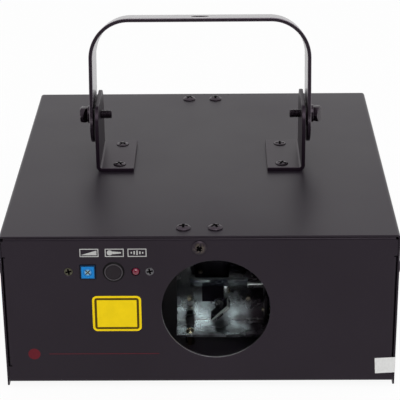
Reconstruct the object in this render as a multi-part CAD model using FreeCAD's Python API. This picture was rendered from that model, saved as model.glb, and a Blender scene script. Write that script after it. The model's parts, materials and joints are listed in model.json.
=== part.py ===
import FreeCAD
import Part

import math
import os

# Laser show projector: a folded sheet-steel case with a tilting yoke, a round window and a mirror scanner.
# Millimetres, +Z up, front panel towards -Y, origin on the standing surface in the middle of the outline.

# Case
CASE_WIDTH = 250.0
CASE_DEPTH = 260.0
CASE_HEIGHT = 104.0
SHEET = 1.2
BEND = 1.0
COVER_FIT = 0.3
SIDE_DROP = 2.0
TOP_LIP = 20.0
RETURN_DEPTH = 15.0
RETURN_TOP = 15.0
RETURN_FOOT = 12.5
BEND_RELIEF = 0.8
VENT_COUNT = 9
VENT_WIDTH = 3.0
VENT_LENGTH = 36.0
VENT_PITCH = 7.0
VENT_SETBACK = 118.0
VENT_X = 28.0

# Rubber feet
FOOT_HEIGHT = 5.0
FOOT_RADIUS = 8.0
FOOT_TAPER = 1.0
FOOT_INSET_X = 24.0
FOOT_INSET_Y = 30.0
FOOT_RECESS = 2.8
FOOT_RECESS_FIT = 0.3
FOOT_SCREW_GRIP = 5.0

# M4 and M3 screws
SCREW_FIT = 0.15
M4_RADIUS = 2.0
TRUSS_RADIUS = 4.7
TRUSS_HEIGHT = 2.2
TRUSS_RIM = 0.5
M4_FLAT_RADIUS = 3.8
M4_RECESS = 1.3
M4_PAN_RADIUS = 3.8
M4_PAN_HEIGHT = 2.3
M4_NUT_FLATS = 7.0
M4_NUT_HEIGHT = 3.2
M3_RADIUS = 1.5
M3_FLAT_RADIUS = 2.9
M3_PAN_RADIUS = 2.8
M3_PAN_HEIGHT = 1.9
M3_PAN_RIM = 0.5
M3_RECESS = 0.8
RECESS_SPAN_SHARE = 0.62
RECESS_WIDTH_SHARE = 0.28

# Cover and panel screws
COVER_SCREW_LENGTH = 6.0
COVER_SCREW_SPACING = 20.0
COVER_SCREW_SETBACK = 12.0
SIDE_SCREW_DROP = 25.5
SIDE_SCREW_SETBACK = 9.0
PANEL_SCREW_DROP = 8.0
PANEL_SCREW_LENGTH = 6.0

# Brackets and yoke
BRACKET_SHEET = 2.5
BRACKET_BEND = 1.5
BRACKET_DEPTH = 52.0
BRACKET_FOOT = 25.5
BRACKET_HEIGHT = 44.0
BRACKET_CORNER = 11.0
BRACKET_EDGE = 0.4
BRACKET_SCREW_SPACING = 37.0
BRACKET_SCREW_INSET = 15.5
BRACKET_SCREW_LENGTH = 8.0
BRACKET_SCREW_SINK = 0.45
PIVOT_RISE = 32.2
PIVOT_SETBACK = 130.0
YOKE_WIDTH = 150.0
YOKE_LENGTH = 66.7
YOKE_STRAP = 38.0
YOKE_SHEET = 2.5
YOKE_BEND = 24.5
YOKE_EDGE = 0.5
YOKE_LEAN = 13.3
YOKE_HOLE_RADIUS = 6.2
WASHER_SHEET = 1.5
WASHER_RADIUS = 8.0
BOLT_RADIUS = 3.0
BOLT_FIT = 0.05
BOLT_HEAD_FLATS = 10.0
BOLT_HEAD_HEIGHT = 5.2
BOLT_FLANGE_RADIUS = 6.0
BOLT_FLANGE_HEIGHT = 2.5
BOLT_REACH = 7.3
BOLT_CHAMFER = 0.6

# Window
WINDOW_X = 10.2
WINDOW_HEAD_GAP = 16.8
WINDOW_FOOT_GAP = 18.2
GLASS_LAP = 4.5
GLASS_SHEET = 3.0
GASKET_SHEET = 1.0
GASKET_STEP = 0.5
CLIP_WIDTH = 14.0
CLIP_SHEET = 0.8
CLIP_LAP = 3.0
CLIP_FIT = 0.3

# Sound controls
CONTROL_DROP = 24.5
BOARD_SCREWS_X = (-82.2, -31.2)
POT_X = -70.0
MICROPHONE_X = -53.8
LED_X = -40.0
CONTROL_SPACER = 5.0
CONTROL_BOARD_HEIGHT = 24.0
CONTROL_BOARD_MARGIN = 7.0
BOARD_SHEET = 1.6
PANEL_HOLE_FIT = 0.3
POT_SIDE = 9.5
POT_PROUD = 1.0
POT_ROTOR_RADIUS = 2.7
POT_ROTOR_DEPTH = 1.0
POT_SLOT = 0.8
TURN_FIT = 0.08
MICROPHONE_RADIUS = 4.85
MICROPHONE_LENGTH = 5.2
MICROPHONE_SUNK = 0.4
MICROPHONE_LEG_RADIUS = 0.4
MICROPHONE_LEG_SPACING = 2.5
BOOT_LIP_RADIUS = 6.8
BOOT_LIP = 1.2
BOOT_RADIUS = 5.9
BOOT_TAIL = 3.0
BOOT_FIT = 0.03
LED_RADIUS = 2.5
LED_RIM_RADIUS = 2.9
LED_RIM = 1.0
LED_PROUD = 1.6
SPACER_FLATS = 5.0

# Optics
BENCH_SHEET = 2.0
BENCH_BEND = 1.0
BENCH_RISE = 8.5
BENCH_LEFT = -16.5
BENCH_RIGHT = 58.0
BENCH_SETBACK = 44.7
BENCH_DEPTH = 21.3
BENCH_WALL = 70.5
BENCH_SCREW_SIDE = 9.0
BENCH_SCREW_INSET = 5.0
EAR_X = 30.0
EAR_FOOT = 11.7
EAR_TOP = 59.7
EAR_REACH = 27.0
SCAN_X = 12.0
SCAN_SETBACK = 50.0
X_AXIS_RISE = 27.2
Y_AXIS_RISE = 46.3
MOTOR_RADIUS = 9.0
MOTOR_LENGTH = 14.0
MOTOR_TAB_SPACING = 40.0
MOTOR_TAB_RADIUS = 3.4
MOTOR_TAB = 1.5
MOTOR_BOSS_RADIUS = 3.2
SHAFT_RADIUS = 1.2
SHAFT_FIT = 0.05
SHAFT_GRIP = 3.5
SHAFT_END_GAP = 2.0
HOLDER_RADIUS = 3.0
HOLDER_GAP = 0.6
MIRROR_SHEET = 1.6
X_MIRROR_LENGTH = 15.0
X_MIRROR_WIDTH = 12.0
Y_MIRROR_LENGTH = 38.0
Y_MIRROR_WIDTH = 14.0
MIRROR_ANGLE = 45.0
LASER_MOUNT_LEFT = -92.0
LASER_MOUNT_RIGHT = -38.0
LASER_MOUNT_SETBACK = 38.0
LASER_MOUNT_DEPTH = 58.0
LASER_PLATE = 4.0
SADDLE_WIDTH = 22.0
SADDLE_LENGTH = 24.0
SADDLE_CAP = 4.0
SADDLE_INSET = 6.0
RED_RADIUS = 6.0
RED_LENGTH = 33.5
GREEN_RADIUS = 8.0
GREEN_LENGTH = 55.5
LASER_FIT = 0.1
LASER_CHAMFER = 1.5
LASER_APERTURE = 2.0
LASER_APERTURE_DEPTH = 3.0
COMBINER_X = -52.0
COMBINER_SIDE = 13.0
COMBINER_SHEET = 1.1
COMBINER_POST = 5.0
COMBINER_GRIP = 3.2

# Boards and wiring
BOARD_SPACER = 8.0
BOARD_SCREW_INSET = 5.0
BOARD_SIDE_GAP = 7.0
MAIN_BOARD_WIDTH = 84.0
MAIN_BOARD_LENGTH = 96.0
SUPPLY_WIDTH = 62.0
SUPPLY_LENGTH = 78.0
SUPPLY_REAR_GAP = 36.0
BOARD_REAR_GAP = 1.0
CHIP_SIDE = 16.0
SINK_WIDTH = 8.0
SINK_LENGTH = 16.0
SINK_SPACING = 48.0
SINK_HEIGHT = 9.0
TRANSFORMER_SIDE = 24.0
TRANSFORMER_HEIGHT = 24.0
CAPACITOR_RADIUS = 6.4
CAPACITOR_HEIGHT = 24.0
CAPACITOR_SPACING = 16.0
CAPACITOR_INSET = 16.0
WIRE_RADIUS = 1.6
HEADER_SIDE = 8.0
HEADER_HEIGHT = 9.0

# Rear panel
INLET_SIDE_GAP = 31.0
INLET_RISE = 31.0
INLET_WIDTH = 50.0
INLET_HEIGHT = 34.0
INLET_FLANGE = 3.0
INLET_BODY_WIDTH = 27.0
INLET_BODY_HEIGHT = 31.0
INLET_BODY_DEPTH = 20.0
INLET_WALL = 1.4
INLET_SCREW_SPACING = 40.0
SOCKET_WIDTH = 24.0
SOCKET_HEIGHT = 16.0
SOCKET_DEPTH = 16.5
SOCKET_CHAMFER = 4.0
BLADE_SPACING = 14.0
BLADE_WIDTH = 2.0
BLADE_HEIGHT = 4.0
BLADE_LENGTH = 13.0
BLADE_DROP = 1.25
EARTH_RISE = 3.75
DRAWER_WIDTH = 19.0
DRAWER_HEIGHT = 7.0
DRAWER_DEPTH = 19.0
DRAWER_FIT = 0.3
DRAWER_LIP = 1.4
DRAWER_LIP_LAP = 0.8
FUSE_RADIUS = 2.5
FUSE_LENGTH = 15.0
FUSE_INSET = 1.4
SWITCH_LAP = 1.4
SWITCH_FLANGE = 1.8
SWITCH_BODY_DEPTH = 14.0
SWITCH_WALL = 1.4
ROCKER_RADIUS = 8.2
ROCKER_WIDTH = 9.6
ROCKER_FIT = 0.35
ROCKER_CREST = 3.2
ROCKER_DISH = 12.0
ROCKER_TILT = 10.0
ROCKER_PIN_RADIUS = 1.2
ROCKER_PIN = 1.0
DMX_LUG_GAP = 1.3
DMX_SPACING = 36.0
DMX_SIDE_GAP = 24.0
DMX_WIDTH = 26.0
DMX_HEIGHT = 31.0
DMX_FLANGE = 2.0
DMX_CORNER = 3.0
DMX_BODY_RADIUS = 11.8
DMX_BODY_DEPTH = 18.0
DMX_SCREW_X = 9.5
DMX_SCREW_Z = 12.0
DMX_CAVITY_RADIUS = 8.2
DMX_CAVITY_DEPTH = 14.0
DMX_PIN_CIRCLE = 4.7
DMX_PIN_RADIUS = 1.2
DMX_PIN_LENGTH = 10.5
DMX_RING_OUTER = 9.8
DMX_CORE_RADIUS = 7.3
DIAL_SPACING = 15.0
DIAL_RADIUS = 3.2
DIAL_PROUD = 0.4
DIAL_SEAT = 4.0
DIAL_SLOT = 1.0
DIAL_BODY = 10.5
FAN_SIDE = 60.0
FAN_DEPTH = 15.0
FAN_BORE = 28.5
FAN_HOLE_SPACING = 50.0
FAN_HUB_RADIUS = 12.0
FAN_HUB_LENGTH = 9.0
FAN_STRUT = 4.0
FAN_STRUT_DEPTH = 3.0
FAN_RUN_GAP = 0.8
FAN_BLADES = 7
FAN_BLADE_SHEET = 1.2
FAN_BLADE_CHORD = 10.0
FAN_BLADE_PITCH = 40.0
FAN_SHAFT_RADIUS = 1.5
FAN_SCREW_LENGTH = 14.0
GUARD_WIRE = 0.8
GUARD_RINGS = (6.5, 13.0, 19.5, 26.0)
GUARD_WELD = 0.2
LUG_SHEET = 2.0
LUG_BEND = 1.0
LUG_WIDTH = 32.0
LUG_HEIGHT = 15.0
LUG_REACH = 18.0
LUG_HOLE_RADIUS = 5.0
LUG_HOLE_SETBACK = 10.0
LUG_DROP = 7.0
LUG_SCREW_SPACING = 20.0
REAR_SCREW_LENGTH = 8.0

# How close two lengths or two faces' directions must be to count as equal
LENGTH_TOLERANCE = 1e-6
SMOOTH_ANGLE = math.radians(1)

# Levels and faces that several pieces share
X = FreeCAD.Vector(1, 0, 0)
Y = FreeCAD.Vector(0, 1, 0)
Z = FreeCAD.Vector(0, 0, 1)
FRONT = -(CASE_DEPTH + LUG_REACH - TRUSS_HEIGHT) / 2
REAR = FRONT + CASE_DEPTH
FRONT_IN = FRONT + SHEET
REAR_IN = REAR - SHEET
UNDERSIDE = FOOT_HEIGHT
FLOOR = UNDERSIDE + SHEET
TOP = UNDERSIDE + CASE_HEIGHT
CEILING = TOP - SHEET
TRAY_HALF = CASE_WIDTH / 2 - SHEET - COVER_FIT
BEND_OUT = BEND + SHEET
CONTROL_Z = TOP - CONTROL_DROP
PANEL_SCREW_Z = TOP - PANEL_SCREW_DROP
WINDOW_RADIUS = (CASE_HEIGHT - WINDOW_HEAD_GAP - WINDOW_FOOT_GAP) / 2
WINDOW_Z = UNDERSIDE + WINDOW_FOOT_GAP + WINDOW_RADIUS
GLASS_RADIUS = WINDOW_RADIUS + GLASS_LAP
PIVOT_Y = FRONT + PIVOT_SETBACK
PIVOT_Z = TOP + PIVOT_RISE
YOKE_INSIDE = YOKE_WIDTH / 2 - YOKE_SHEET
BRACKET_X = YOKE_INSIDE - WASHER_SHEET
SCAN_Y = FRONT + SCAN_SETBACK
X_AXIS_Z = UNDERSIDE + X_AXIS_RISE
Y_AXIS_Z = UNDERSIDE + Y_AXIS_RISE
BENCH_TOP = UNDERSIDE + BENCH_RISE + BENCH_SHEET
BENCH_FRONT = FRONT + BENCH_SETBACK
WALL_FRONT = BENCH_FRONT + BENCH_DEPTH
CONTROL_BOARD_Y = FRONT_IN + CONTROL_SPACER
BOARD_Z = FLOOR + BOARD_SPACER
BOARD_TOP = BOARD_Z + BOARD_SHEET
SIDE_LIMIT = TRAY_HALF - SHEET - BOARD_SIDE_GAP
MAIN_LEFT = SIDE_LIMIT - MAIN_BOARD_WIDTH
MAIN_REAR = REAR_IN - BOARD_REAR_GAP
MAIN_FRONT = MAIN_REAR - MAIN_BOARD_LENGTH
SUPPLY_RIGHT = SUPPLY_WIDTH - SIDE_LIMIT
SUPPLY_REAR = REAR_IN - SUPPLY_REAR_GAP
SUPPLY_FRONT = SUPPLY_REAR - SUPPLY_LENGTH
INLET_X = INLET_SIDE_GAP - TRAY_HALF
INLET_Z = UNDERSIDE + INLET_RISE
SOCKET_LOW = INLET_Z + INLET_BODY_HEIGHT / 2 - INLET_WALL - SOCKET_HEIGHT
SOCKET_FLOOR = REAR + INLET_FLANGE - SOCKET_DEPTH
DRAWER_Z = INLET_Z - INLET_BODY_HEIGHT / 2 + INLET_WALL + DRAWER_HEIGHT / 2
SWITCH_Z = (INLET_Z + INLET_HEIGHT / 2 + CEILING) / 2
ROCKER_Y = REAR - SWITCH_FLANGE
LUG_TOP = CEILING - LUG_DROP
DMX_OUT_X = TRAY_HALF - DMX_SIDE_GAP
DMX_IN_X = DMX_OUT_X - DMX_SPACING
DMX_Z = LUG_TOP - LUG_HEIGHT - DMX_LUG_GAP - DMX_HEIGHT / 2
DIAL_X = (DMX_IN_X + DMX_OUT_X) / 2
DIAL_Z = BOARD_TOP + DIAL_BODY / 2
FAN_X = (INLET_X + INLET_WIDTH / 2 + DMX_IN_X - DMX_WIDTH / 2) / 2
FAN_Z = UNDERSIDE + CASE_HEIGHT / 2


def block(x0, x1, y0, y1, z0, z1):
    """A box between two corners."""
    corner = FreeCAD.Vector(x0, y0, z0)
    return Part.makeBox(x1 - x0, y1 - y0, z1 - z0, corner)


def rod(x, y, z, axis, radius, length):
    """A cylinder that starts at a point and runs along an axis."""
    return Part.makeCylinder(radius, length, FreeCAD.Vector(x, y, z), axis)


def ring(x, y, z, axis, outer, inner, length):
    """A tube that starts at a point and runs along an axis."""
    return rod(x, y, z, axis, outer, length).cut(rod(x, y, z, axis, inner, length))


def seat(shape, x, y, z, axis):
    """Points a shape that was made along +Z along another axis and moves its origin to a place."""
    placed = shape.copy()
    target = FreeCAD.Placement(FreeCAD.Vector(x, y, z), FreeCAD.Rotation(Z, axis))
    placed.Placement = target.multiply(shape.Placement)
    return placed


def turned(shape, point, axis, angle):
    """A copy of a shape, turned about an axis through a point."""
    copy = shape.copy()
    copy.rotate(point, axis, angle)
    return copy


def mirrored(shape):
    """The other hand of a shape, across the middle of the case."""
    return shape.mirror(FreeCAD.Vector(0, 0, 0), X)


def rounded_edges(points, radii):
    """Straight edges along the points, with a tangent arc at each inner point."""
    edges = []
    start = points[0]
    for before, corner, after, radius in zip(points, points[1:], points[2:], radii):
        into = (corner - before).normalize()
        out = (after - corner).normalize()
        half_turn = into.getAngle(out) / 2
        reach = radius * math.tan(half_turn)
        inward = (out - into).normalize()
        middle = corner + inward * (radius / math.cos(half_turn) - radius)
        arc_start = corner - into * reach
        arc_end = corner + out * reach
        edges.append(Part.LineSegment(start, arc_start).toShape())
        edges.append(Part.Arc(arc_start, middle, arc_end).toShape())
        start = arc_end
    edges.append(Part.LineSegment(start, points[-1]).toShape())
    return edges


def folded(points, sheet, bend, sweep):
    """A folded sheet drawn out along sweep. The points follow its outer face, all bends turning inwards."""
    normal = FreeCAD.Vector(sweep).normalize()
    sides = [normal.cross((b - a).normalize()) for a, b in zip(points, points[1:])]
    inner = [points[0] + sides[0] * sheet]
    for corner, before, after in zip(points[1:], sides, sides[1:]):
        inner.append(corner + (before + after) * (sheet / (1 + before.dot(after))))
    inner.append(points[-1] + sides[-1] * sheet)
    count = len(points) - 2
    edges = rounded_edges(points, [bend + sheet] * count)
    edges += rounded_edges(inner, [bend] * count)
    edges.append(Part.LineSegment(points[0], inner[0]).toShape())
    edges.append(Part.LineSegment(points[-1], inner[-1]).toShape())
    return Part.Face(Part.Wire(Part.__sortEdges__(edges))).extrude(sweep)


def with_round_rims(sheet_metal, sheet, radius):
    """Rounds the rims of a folded sheet: its sharp edges, but not the short ones across its thickness."""
    rims = [edge for edge in sheet_metal.Edges
            if is_sharp(sheet_metal, edge) and abs(edge.Length - sheet) > LENGTH_TOLERANCE]
    return sheet_metal.makeFillet(radius, rims)


def is_sharp(shape, edge):
    """True where the two faces at an edge meet at an angle."""
    faces = [face for face in shape.Faces if any(edge.isSame(other) for other in face.Edges)]
    point = edge.valueAt((edge.FirstParameter + edge.LastParameter) / 2)
    normals = [face.normalAt(*face.Surface.parameter(point)) for face in faces]
    return len(normals) == 2 and normals[0].getAngle(normals[1]) > SMOOTH_ANGLE


def at(x, y, z):
    """A point."""
    return FreeCAD.Vector(x, y, z)


def lathe(outline):
    """A solid turned about +Z from straight lines through (radius, height) points."""
    points = [at(radius, 0, height) for radius, height in outline]
    return Part.Face(Part.makePolygon(points + points[:1])).revolve(at(0, 0, 0), Z, 360)


def hexagon(flats, height):
    """A six-sided prism on +Z with two corners along X."""
    corner = flats / math.sqrt(3)
    points = [at(corner * math.cos(math.radians(60 * i)), corner * math.sin(math.radians(60 * i)), 0)
              for i in range(7)]
    return Part.Face(Part.makePolygon(points)).extrude(Z * height)


def cross_recess(head_radius, depth, top):
    """The cutter for a cross recess that goes down from a screw head's top."""
    span = head_radius * RECESS_SPAN_SHARE
    arm = head_radius * RECESS_WIDTH_SHARE / 2
    above = top + depth
    along = block(-span, span, -arm, arm, top - depth, above)
    across = block(-arm, arm, -span, span, top - depth, above)
    return along.fuse(across)


def domed_screw(head_radius, head_height, rim, shank_radius, length, recess):
    """A cross-head screw with a domed head above its origin and its shank below."""
    rise = head_height - rim
    sphere = (head_radius ** 2 + rise ** 2) / (2 * rise)
    half = math.asin(head_radius / sphere) / 2
    middle = at(sphere * math.sin(half), 0, head_height - sphere + sphere * math.cos(half))
    corners = [at(0, 0, head_height), at(0, 0, -length), at(shank_radius, 0, -length), at(shank_radius, 0, 0),
               at(head_radius, 0, 0), at(head_radius, 0, rim)]
    edges = [Part.LineSegment(a, b).toShape() for a, b in zip(corners, corners[1:])]
    edges.append(Part.Arc(corners[-1], middle, corners[0]).toShape())
    screw = Part.Face(Part.Wire(edges)).revolve(at(0, 0, 0), Z, 360)
    return screw.cut(cross_recess(head_radius, recess, head_height))


def flat_screw(head_radius, shank_radius, length, recess):
    """A cross-head countersunk screw with its top face at its origin."""
    cone = head_radius - shank_radius
    body = lathe([(0, 0), (0, -length), (shank_radius, -length), (shank_radius, -cone), (head_radius, 0)])
    return body.cut(cross_recess(head_radius, recess, 0))


def flat_screw_hole(head_radius, shank_radius, length):
    """The cutter for a countersunk screw and its clearance."""
    cone = head_radius - shank_radius
    shank = shank_radius + SCREW_FIT
    head = head_radius + SCREW_FIT
    return lathe([(0, 0), (0, -length), (shank, -length), (shank, -cone), (head, 0)])


def truss_screw(length):
    return domed_screw(TRUSS_RADIUS, TRUSS_HEIGHT, TRUSS_RIM, M4_RADIUS, length, M4_RECESS)


def m4_pan_screw(length):
    return domed_screw(M4_PAN_RADIUS, M4_PAN_HEIGHT, TRUSS_RIM, M4_RADIUS, length, M4_RECESS)


def m3_pan_screw(length):
    return domed_screw(M3_PAN_RADIUS, M3_PAN_HEIGHT, M3_PAN_RIM, M3_RADIUS, length, M3_RECESS)


def nut(flats, height, radius):
    """A nut on +Z with its clearance hole."""
    return hexagon(flats, height).cut(rod(0, 0, 0, Z, radius + SCREW_FIT, height))


def group(shapes):
    """Separate solids kept together as one piece."""
    return Part.makeCompound(shapes)


def cover_screw_places():
    """Origin and axis of each truss screw in the cover."""
    places = []
    for y in (FRONT + COVER_SCREW_SETBACK, REAR - COVER_SCREW_SETBACK):
        for x in (-COVER_SCREW_SPACING / 2, COVER_SCREW_SPACING / 2):
            places.append((x, y, TOP, Z))
    for y in (FRONT + SIDE_SCREW_SETBACK, REAR - SIDE_SCREW_SETBACK):
        for side in (-1, 1):
            places.append((side * CASE_WIDTH / 2, y, TOP - SIDE_SCREW_DROP, X * side))
    return places


def bracket_screw_places():
    """Foot screws of both brackets, as x and y on the cover."""
    x = BRACKET_X - BRACKET_SCREW_INSET
    half = BRACKET_SCREW_SPACING / 2
    return [(side * x, PIVOT_Y + offset) for side in (-1, 1) for offset in (-half, half)]


def foot_places():
    """Centres of the rubber feet."""
    x = TRAY_HALF - FOOT_INSET_X
    return [(side * x, y) for side in (-1, 1) for y in (FRONT + FOOT_INSET_Y, REAR - FOOT_INSET_Y)]


def dmx_screw_places():
    """Flange screws of both signal sockets, on opposite corners."""
    return [(x + sign * DMX_SCREW_X, DMX_Z + sign * DMX_SCREW_Z) for x in (DMX_IN_X, DMX_OUT_X)
            for sign in (-1, 1)]


def inlet_screw_places():
    half = INLET_SCREW_SPACING / 2
    return [(INLET_X - half, INLET_Z), (INLET_X + half, INLET_Z)]


def lug_screw_places():
    half = LUG_SCREW_SPACING / 2
    return [(DIAL_X + side * half, LUG_TOP - LUG_HEIGHT / 2) for side in (-1, 1)]


def fan_screw_places():
    half = FAN_HOLE_SPACING / 2
    return [(FAN_X + sx * half, FAN_Z + sz * half) for sx in (-1, 1) for sz in (-1, 1)]


def dial_places():
    return [DIAL_X + step * DIAL_SPACING for step in (-1, 0, 1)]


def board_corners(x0, x1, y0, y1):
    """Screw places near a board's corners."""
    inset = BOARD_SCREW_INSET
    return [(x, y) for x in (x0 + inset, x1 - inset) for y in (y0 + inset, y1 - inset)]


def board_screw_places():
    """Corner screws of the main board and the power supply."""
    return (board_corners(MAIN_LEFT, SIDE_LIMIT, MAIN_FRONT, MAIN_REAR - DIAL_BODY)
            + board_corners(-SIDE_LIMIT, SUPPLY_RIGHT, SUPPLY_FRONT, SUPPLY_REAR))


def bench_screw_places():
    """Screws of the scanner bench, along its front and its back."""
    return [(x, y) for x in (BENCH_LEFT + BENCH_SCREW_SIDE, BENCH_RIGHT - BENCH_SCREW_SIDE)
            for y in (BENCH_FRONT + BENCH_SCREW_INSET, WALL_FRONT - BENCH_SCREW_INSET)]


def laser_mount_screw_places():
    inset = M3_PAN_RADIUS + 2 * SCREW_FIT
    back = FRONT + LASER_MOUNT_SETBACK + LASER_MOUNT_DEPTH - inset
    return [(LASER_MOUNT_LEFT + inset, back), (LASER_MOUNT_LEFT + inset, FRONT + LASER_MOUNT_SETBACK + inset)]


def motor_screw_places():
    """Screws through the motors' tabs, as place and axis."""
    half = MOTOR_TAB_SPACING / 2
    wall_back = WALL_FRONT + BENCH_SHEET + MOTOR_TAB
    ear_back = SCAN_X + EAR_X + BENCH_SHEET + MOTOR_TAB
    places = [(SCAN_X + side * half, wall_back, X_AXIS_Z, Y) for side in (-1, 1)]
    return places + [(ear_back, SCAN_Y, Y_AXIS_Z + side * half, X) for side in (-1, 1)]


def return_flange():
    """The left return flange of the front panel: a bend and the leg behind it."""
    low = UNDERSIDE + RETURN_FOOT
    high = TOP - RETURN_TOP
    left = -TRAY_HALF
    bend_x, bend_y = left + BEND_OUT, FRONT + BEND_OUT
    leg = block(left, left + SHEET, bend_y, FRONT + RETURN_DEPTH, low, high)
    bend = ring(bend_x, bend_y, low, Z, BEND_OUT, BEND, high - low)
    return leg.fuse(bend.common(block(left, bend_x, FRONT, bend_y, low, high)))


def base_tray():
    """Bottom, front and rear panels folded from one sheet, with lips, return flanges and all cut-outs."""
    low = UNDERSIDE
    path = [at(-TRAY_HALF, FRONT + TOP_LIP, CEILING), at(-TRAY_HALF, FRONT, CEILING),
            at(-TRAY_HALF, FRONT, low), at(-TRAY_HALF, REAR, low),
            at(-TRAY_HALF, REAR, CEILING), at(-TRAY_HALF, REAR - TOP_LIP, CEILING)]
    tray = folded(path, SHEET, BEND, X * (2 * TRAY_HALF))
    tray = with_return_flanges(tray)
    cuts = lip_corners() + tray_screw_holes() + front_cutouts() + rear_cutouts() + floor_cutouts()
    return tray.cut(cuts)


def lip_corners():
    """What is cut off the ends of both lips to clear the cover's bends."""
    inner = TRAY_HALF - BEND - COVER_FIT
    corners = []
    for y in (FRONT, REAR - TOP_LIP):
        corner = block(inner, TRAY_HALF, y, y + TOP_LIP, CEILING - BEND_OUT, CEILING)
        corners += [corner, mirrored(corner)]
    return corners


def with_return_flanges(tray):
    """Notches the ends of the front and rear panels and folds a flange back from each notch."""
    low = UNDERSIDE + RETURN_FOOT
    high = TOP - RETURN_TOP
    flange = return_flange()
    middle = at(0, (FRONT + REAR) / 2, 0)
    notch = block(-TRAY_HALF, -TRAY_HALF + BEND_OUT, FRONT, FRONT_IN, low - BEND_RELIEF, high + BEND_RELIEF)
    notches = [notch, mirrored(notch), notch.mirror(middle, Y), mirrored(notch).mirror(middle, Y)]
    flanges = [flange, mirrored(flange), flange.mirror(middle, Y), mirrored(flange).mirror(middle, Y)]
    return tray.cut(notches).fuse(flanges)


def tray_screw_holes():
    """Holes for the cover screws in the lips and the return flanges."""
    radius = M4_RADIUS + SCREW_FIT
    reach = 2 * SHEET + COVER_FIT + SCREW_FIT
    return [rod(x, y, z, axis * -1, radius, reach) for x, y, z, axis in cover_screw_places()]


def front_cutouts():
    """The window, the control holes and the screw holes of the front panel."""
    cuts = [rod(WINDOW_X, FRONT, WINDOW_Z, Y, WINDOW_RADIUS, SHEET),
            rod(0, FRONT, PANEL_SCREW_Z, Y, M4_RADIUS + SCREW_FIT, SHEET),
            rod(MICROPHONE_X, FRONT, CONTROL_Z, Y, BOOT_RADIUS + BOOT_FIT, SHEET),
            rod(LED_X, FRONT, CONTROL_Z, Y, LED_RADIUS + PANEL_HOLE_FIT, SHEET)]
    half = POT_SIDE / 2 + PANEL_HOLE_FIT
    cuts.append(block(POT_X - half, POT_X + half, FRONT, FRONT_IN, CONTROL_Z - half, CONTROL_Z + half))
    hole = flat_screw_hole(M3_FLAT_RADIUS, M3_RADIUS, SHEET + CONTROL_SPACER)
    cuts += [seat(hole, x, FRONT, CONTROL_Z, Y * -1) for x in BOARD_SCREWS_X]
    return cuts


def rear_cutouts():
    """The fan, inlet, switch, socket, dial and screw holes of the rear panel."""
    def panel_hole(x, z, radius):
        return rod(x, REAR_IN, z, Y, radius, SHEET)

    def panel_window(x, z, width, height):
        return block(x - width / 2, x + width / 2, REAR_IN, REAR, z - height / 2, z + height / 2)

    cuts = [panel_hole(FAN_X, FAN_Z, FAN_BORE),
            panel_window(INLET_X, INLET_Z, INLET_BODY_WIDTH + 2 * PANEL_HOLE_FIT,
                         INLET_BODY_HEIGHT + 2 * PANEL_HOLE_FIT),
            panel_window(INLET_X, SWITCH_Z, switch_body_width() + 2 * PANEL_HOLE_FIT,
                         switch_body_height() + 2 * PANEL_HOLE_FIT)]
    cuts += [panel_hole(x, DMX_Z, DMX_BODY_RADIUS + PANEL_HOLE_FIT) for x in (DMX_IN_X, DMX_OUT_X)]
    cuts += [panel_hole(x, DIAL_Z, DIAL_RADIUS + PANEL_HOLE_FIT) for x in dial_places()]
    small = dmx_screw_places() + inlet_screw_places() + lug_screw_places()
    cuts += [panel_hole(x, z, M3_RADIUS + SCREW_FIT) for x, z in small]
    cuts += [panel_hole(x, z, M4_RADIUS + SCREW_FIT) for x, z in fan_screw_places()]
    return cuts


def floor_cutouts():
    """Cooling slots with round ends, and the foot screw holes."""
    cuts = [rod(x, y, UNDERSIDE, Z, M4_RADIUS + SCREW_FIT, SHEET) for x, y in foot_places()]
    radius = VENT_WIDTH / 2
    middle = FRONT + VENT_SETBACK
    straight = VENT_LENGTH / 2 - radius
    for i in range(VENT_COUNT):
        x = VENT_X + (i - (VENT_COUNT - 1) / 2) * VENT_PITCH
        slot = block(x - radius, x + radius, middle - straight, middle + straight, UNDERSIDE, FLOOR)
        ends = [rod(x, middle + end * straight, UNDERSIDE, Z, radius, SHEET) for end in (-1, 1)]
        cuts.append(slot.fuse(ends))
    return cuts


def top_cover():
    """The inverted U that closes the case, with its screw holes."""
    low = UNDERSIDE - SIDE_DROP
    half = CASE_WIDTH / 2
    path = [at(-half, FRONT, low), at(-half, FRONT, TOP), at(half, FRONT, TOP), at(half, FRONT, low)]
    cover = folded(path, SHEET, BEND, Y * CASE_DEPTH)
    radius = M4_RADIUS + SCREW_FIT
    cuts = [rod(x, y, z, axis * -1, radius, SHEET) for x, y, z, axis in cover_screw_places()]
    cuts += [rod(x, y, CEILING, Z, radius, SHEET) for x, y in bracket_screw_places()]
    return cover.cut(cuts)


def cover_screws():
    screw = truss_screw(COVER_SCREW_LENGTH)
    return group([seat(screw, *place) for place in cover_screw_places()])


def front_panel_screw():
    return seat(truss_screw(PANEL_SCREW_LENGTH), 0, FRONT, PANEL_SCREW_Z, Y * -1)


def right_bracket():
    """An L of heavy sheet: a foot that points inwards and an ear with rounded corners, tapped for the bolt."""
    front = PIVOT_Y - BRACKET_DEPTH / 2
    ear_top = TOP + BRACKET_HEIGHT
    path = [at(BRACKET_X, front, ear_top), at(BRACKET_X, front, TOP),
            at(BRACKET_X - BRACKET_FOOT, front, TOP)]
    bracket = folded(path, BRACKET_SHEET, BRACKET_BEND, Y * BRACKET_DEPTH)
    bracket = bracket.cut([ear_corner(1), ear_corner(-1)])
    bracket = with_round_rims(bracket, BRACKET_SHEET, BRACKET_EDGE)
    cuts = [rod(BRACKET_X - BRACKET_SHEET, PIVOT_Y, PIVOT_Z, X, BOLT_RADIUS + BOLT_FIT, BRACKET_SHEET)]
    hole = flat_screw_hole(M4_FLAT_RADIUS + BRACKET_SCREW_SINK, M4_RADIUS, BRACKET_SHEET)
    cuts += [seat(hole, x, y, TOP + BRACKET_SHEET, Z) for x, y in bracket_screw_places() if x > 0]
    return bracket.cut(cuts)


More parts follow.
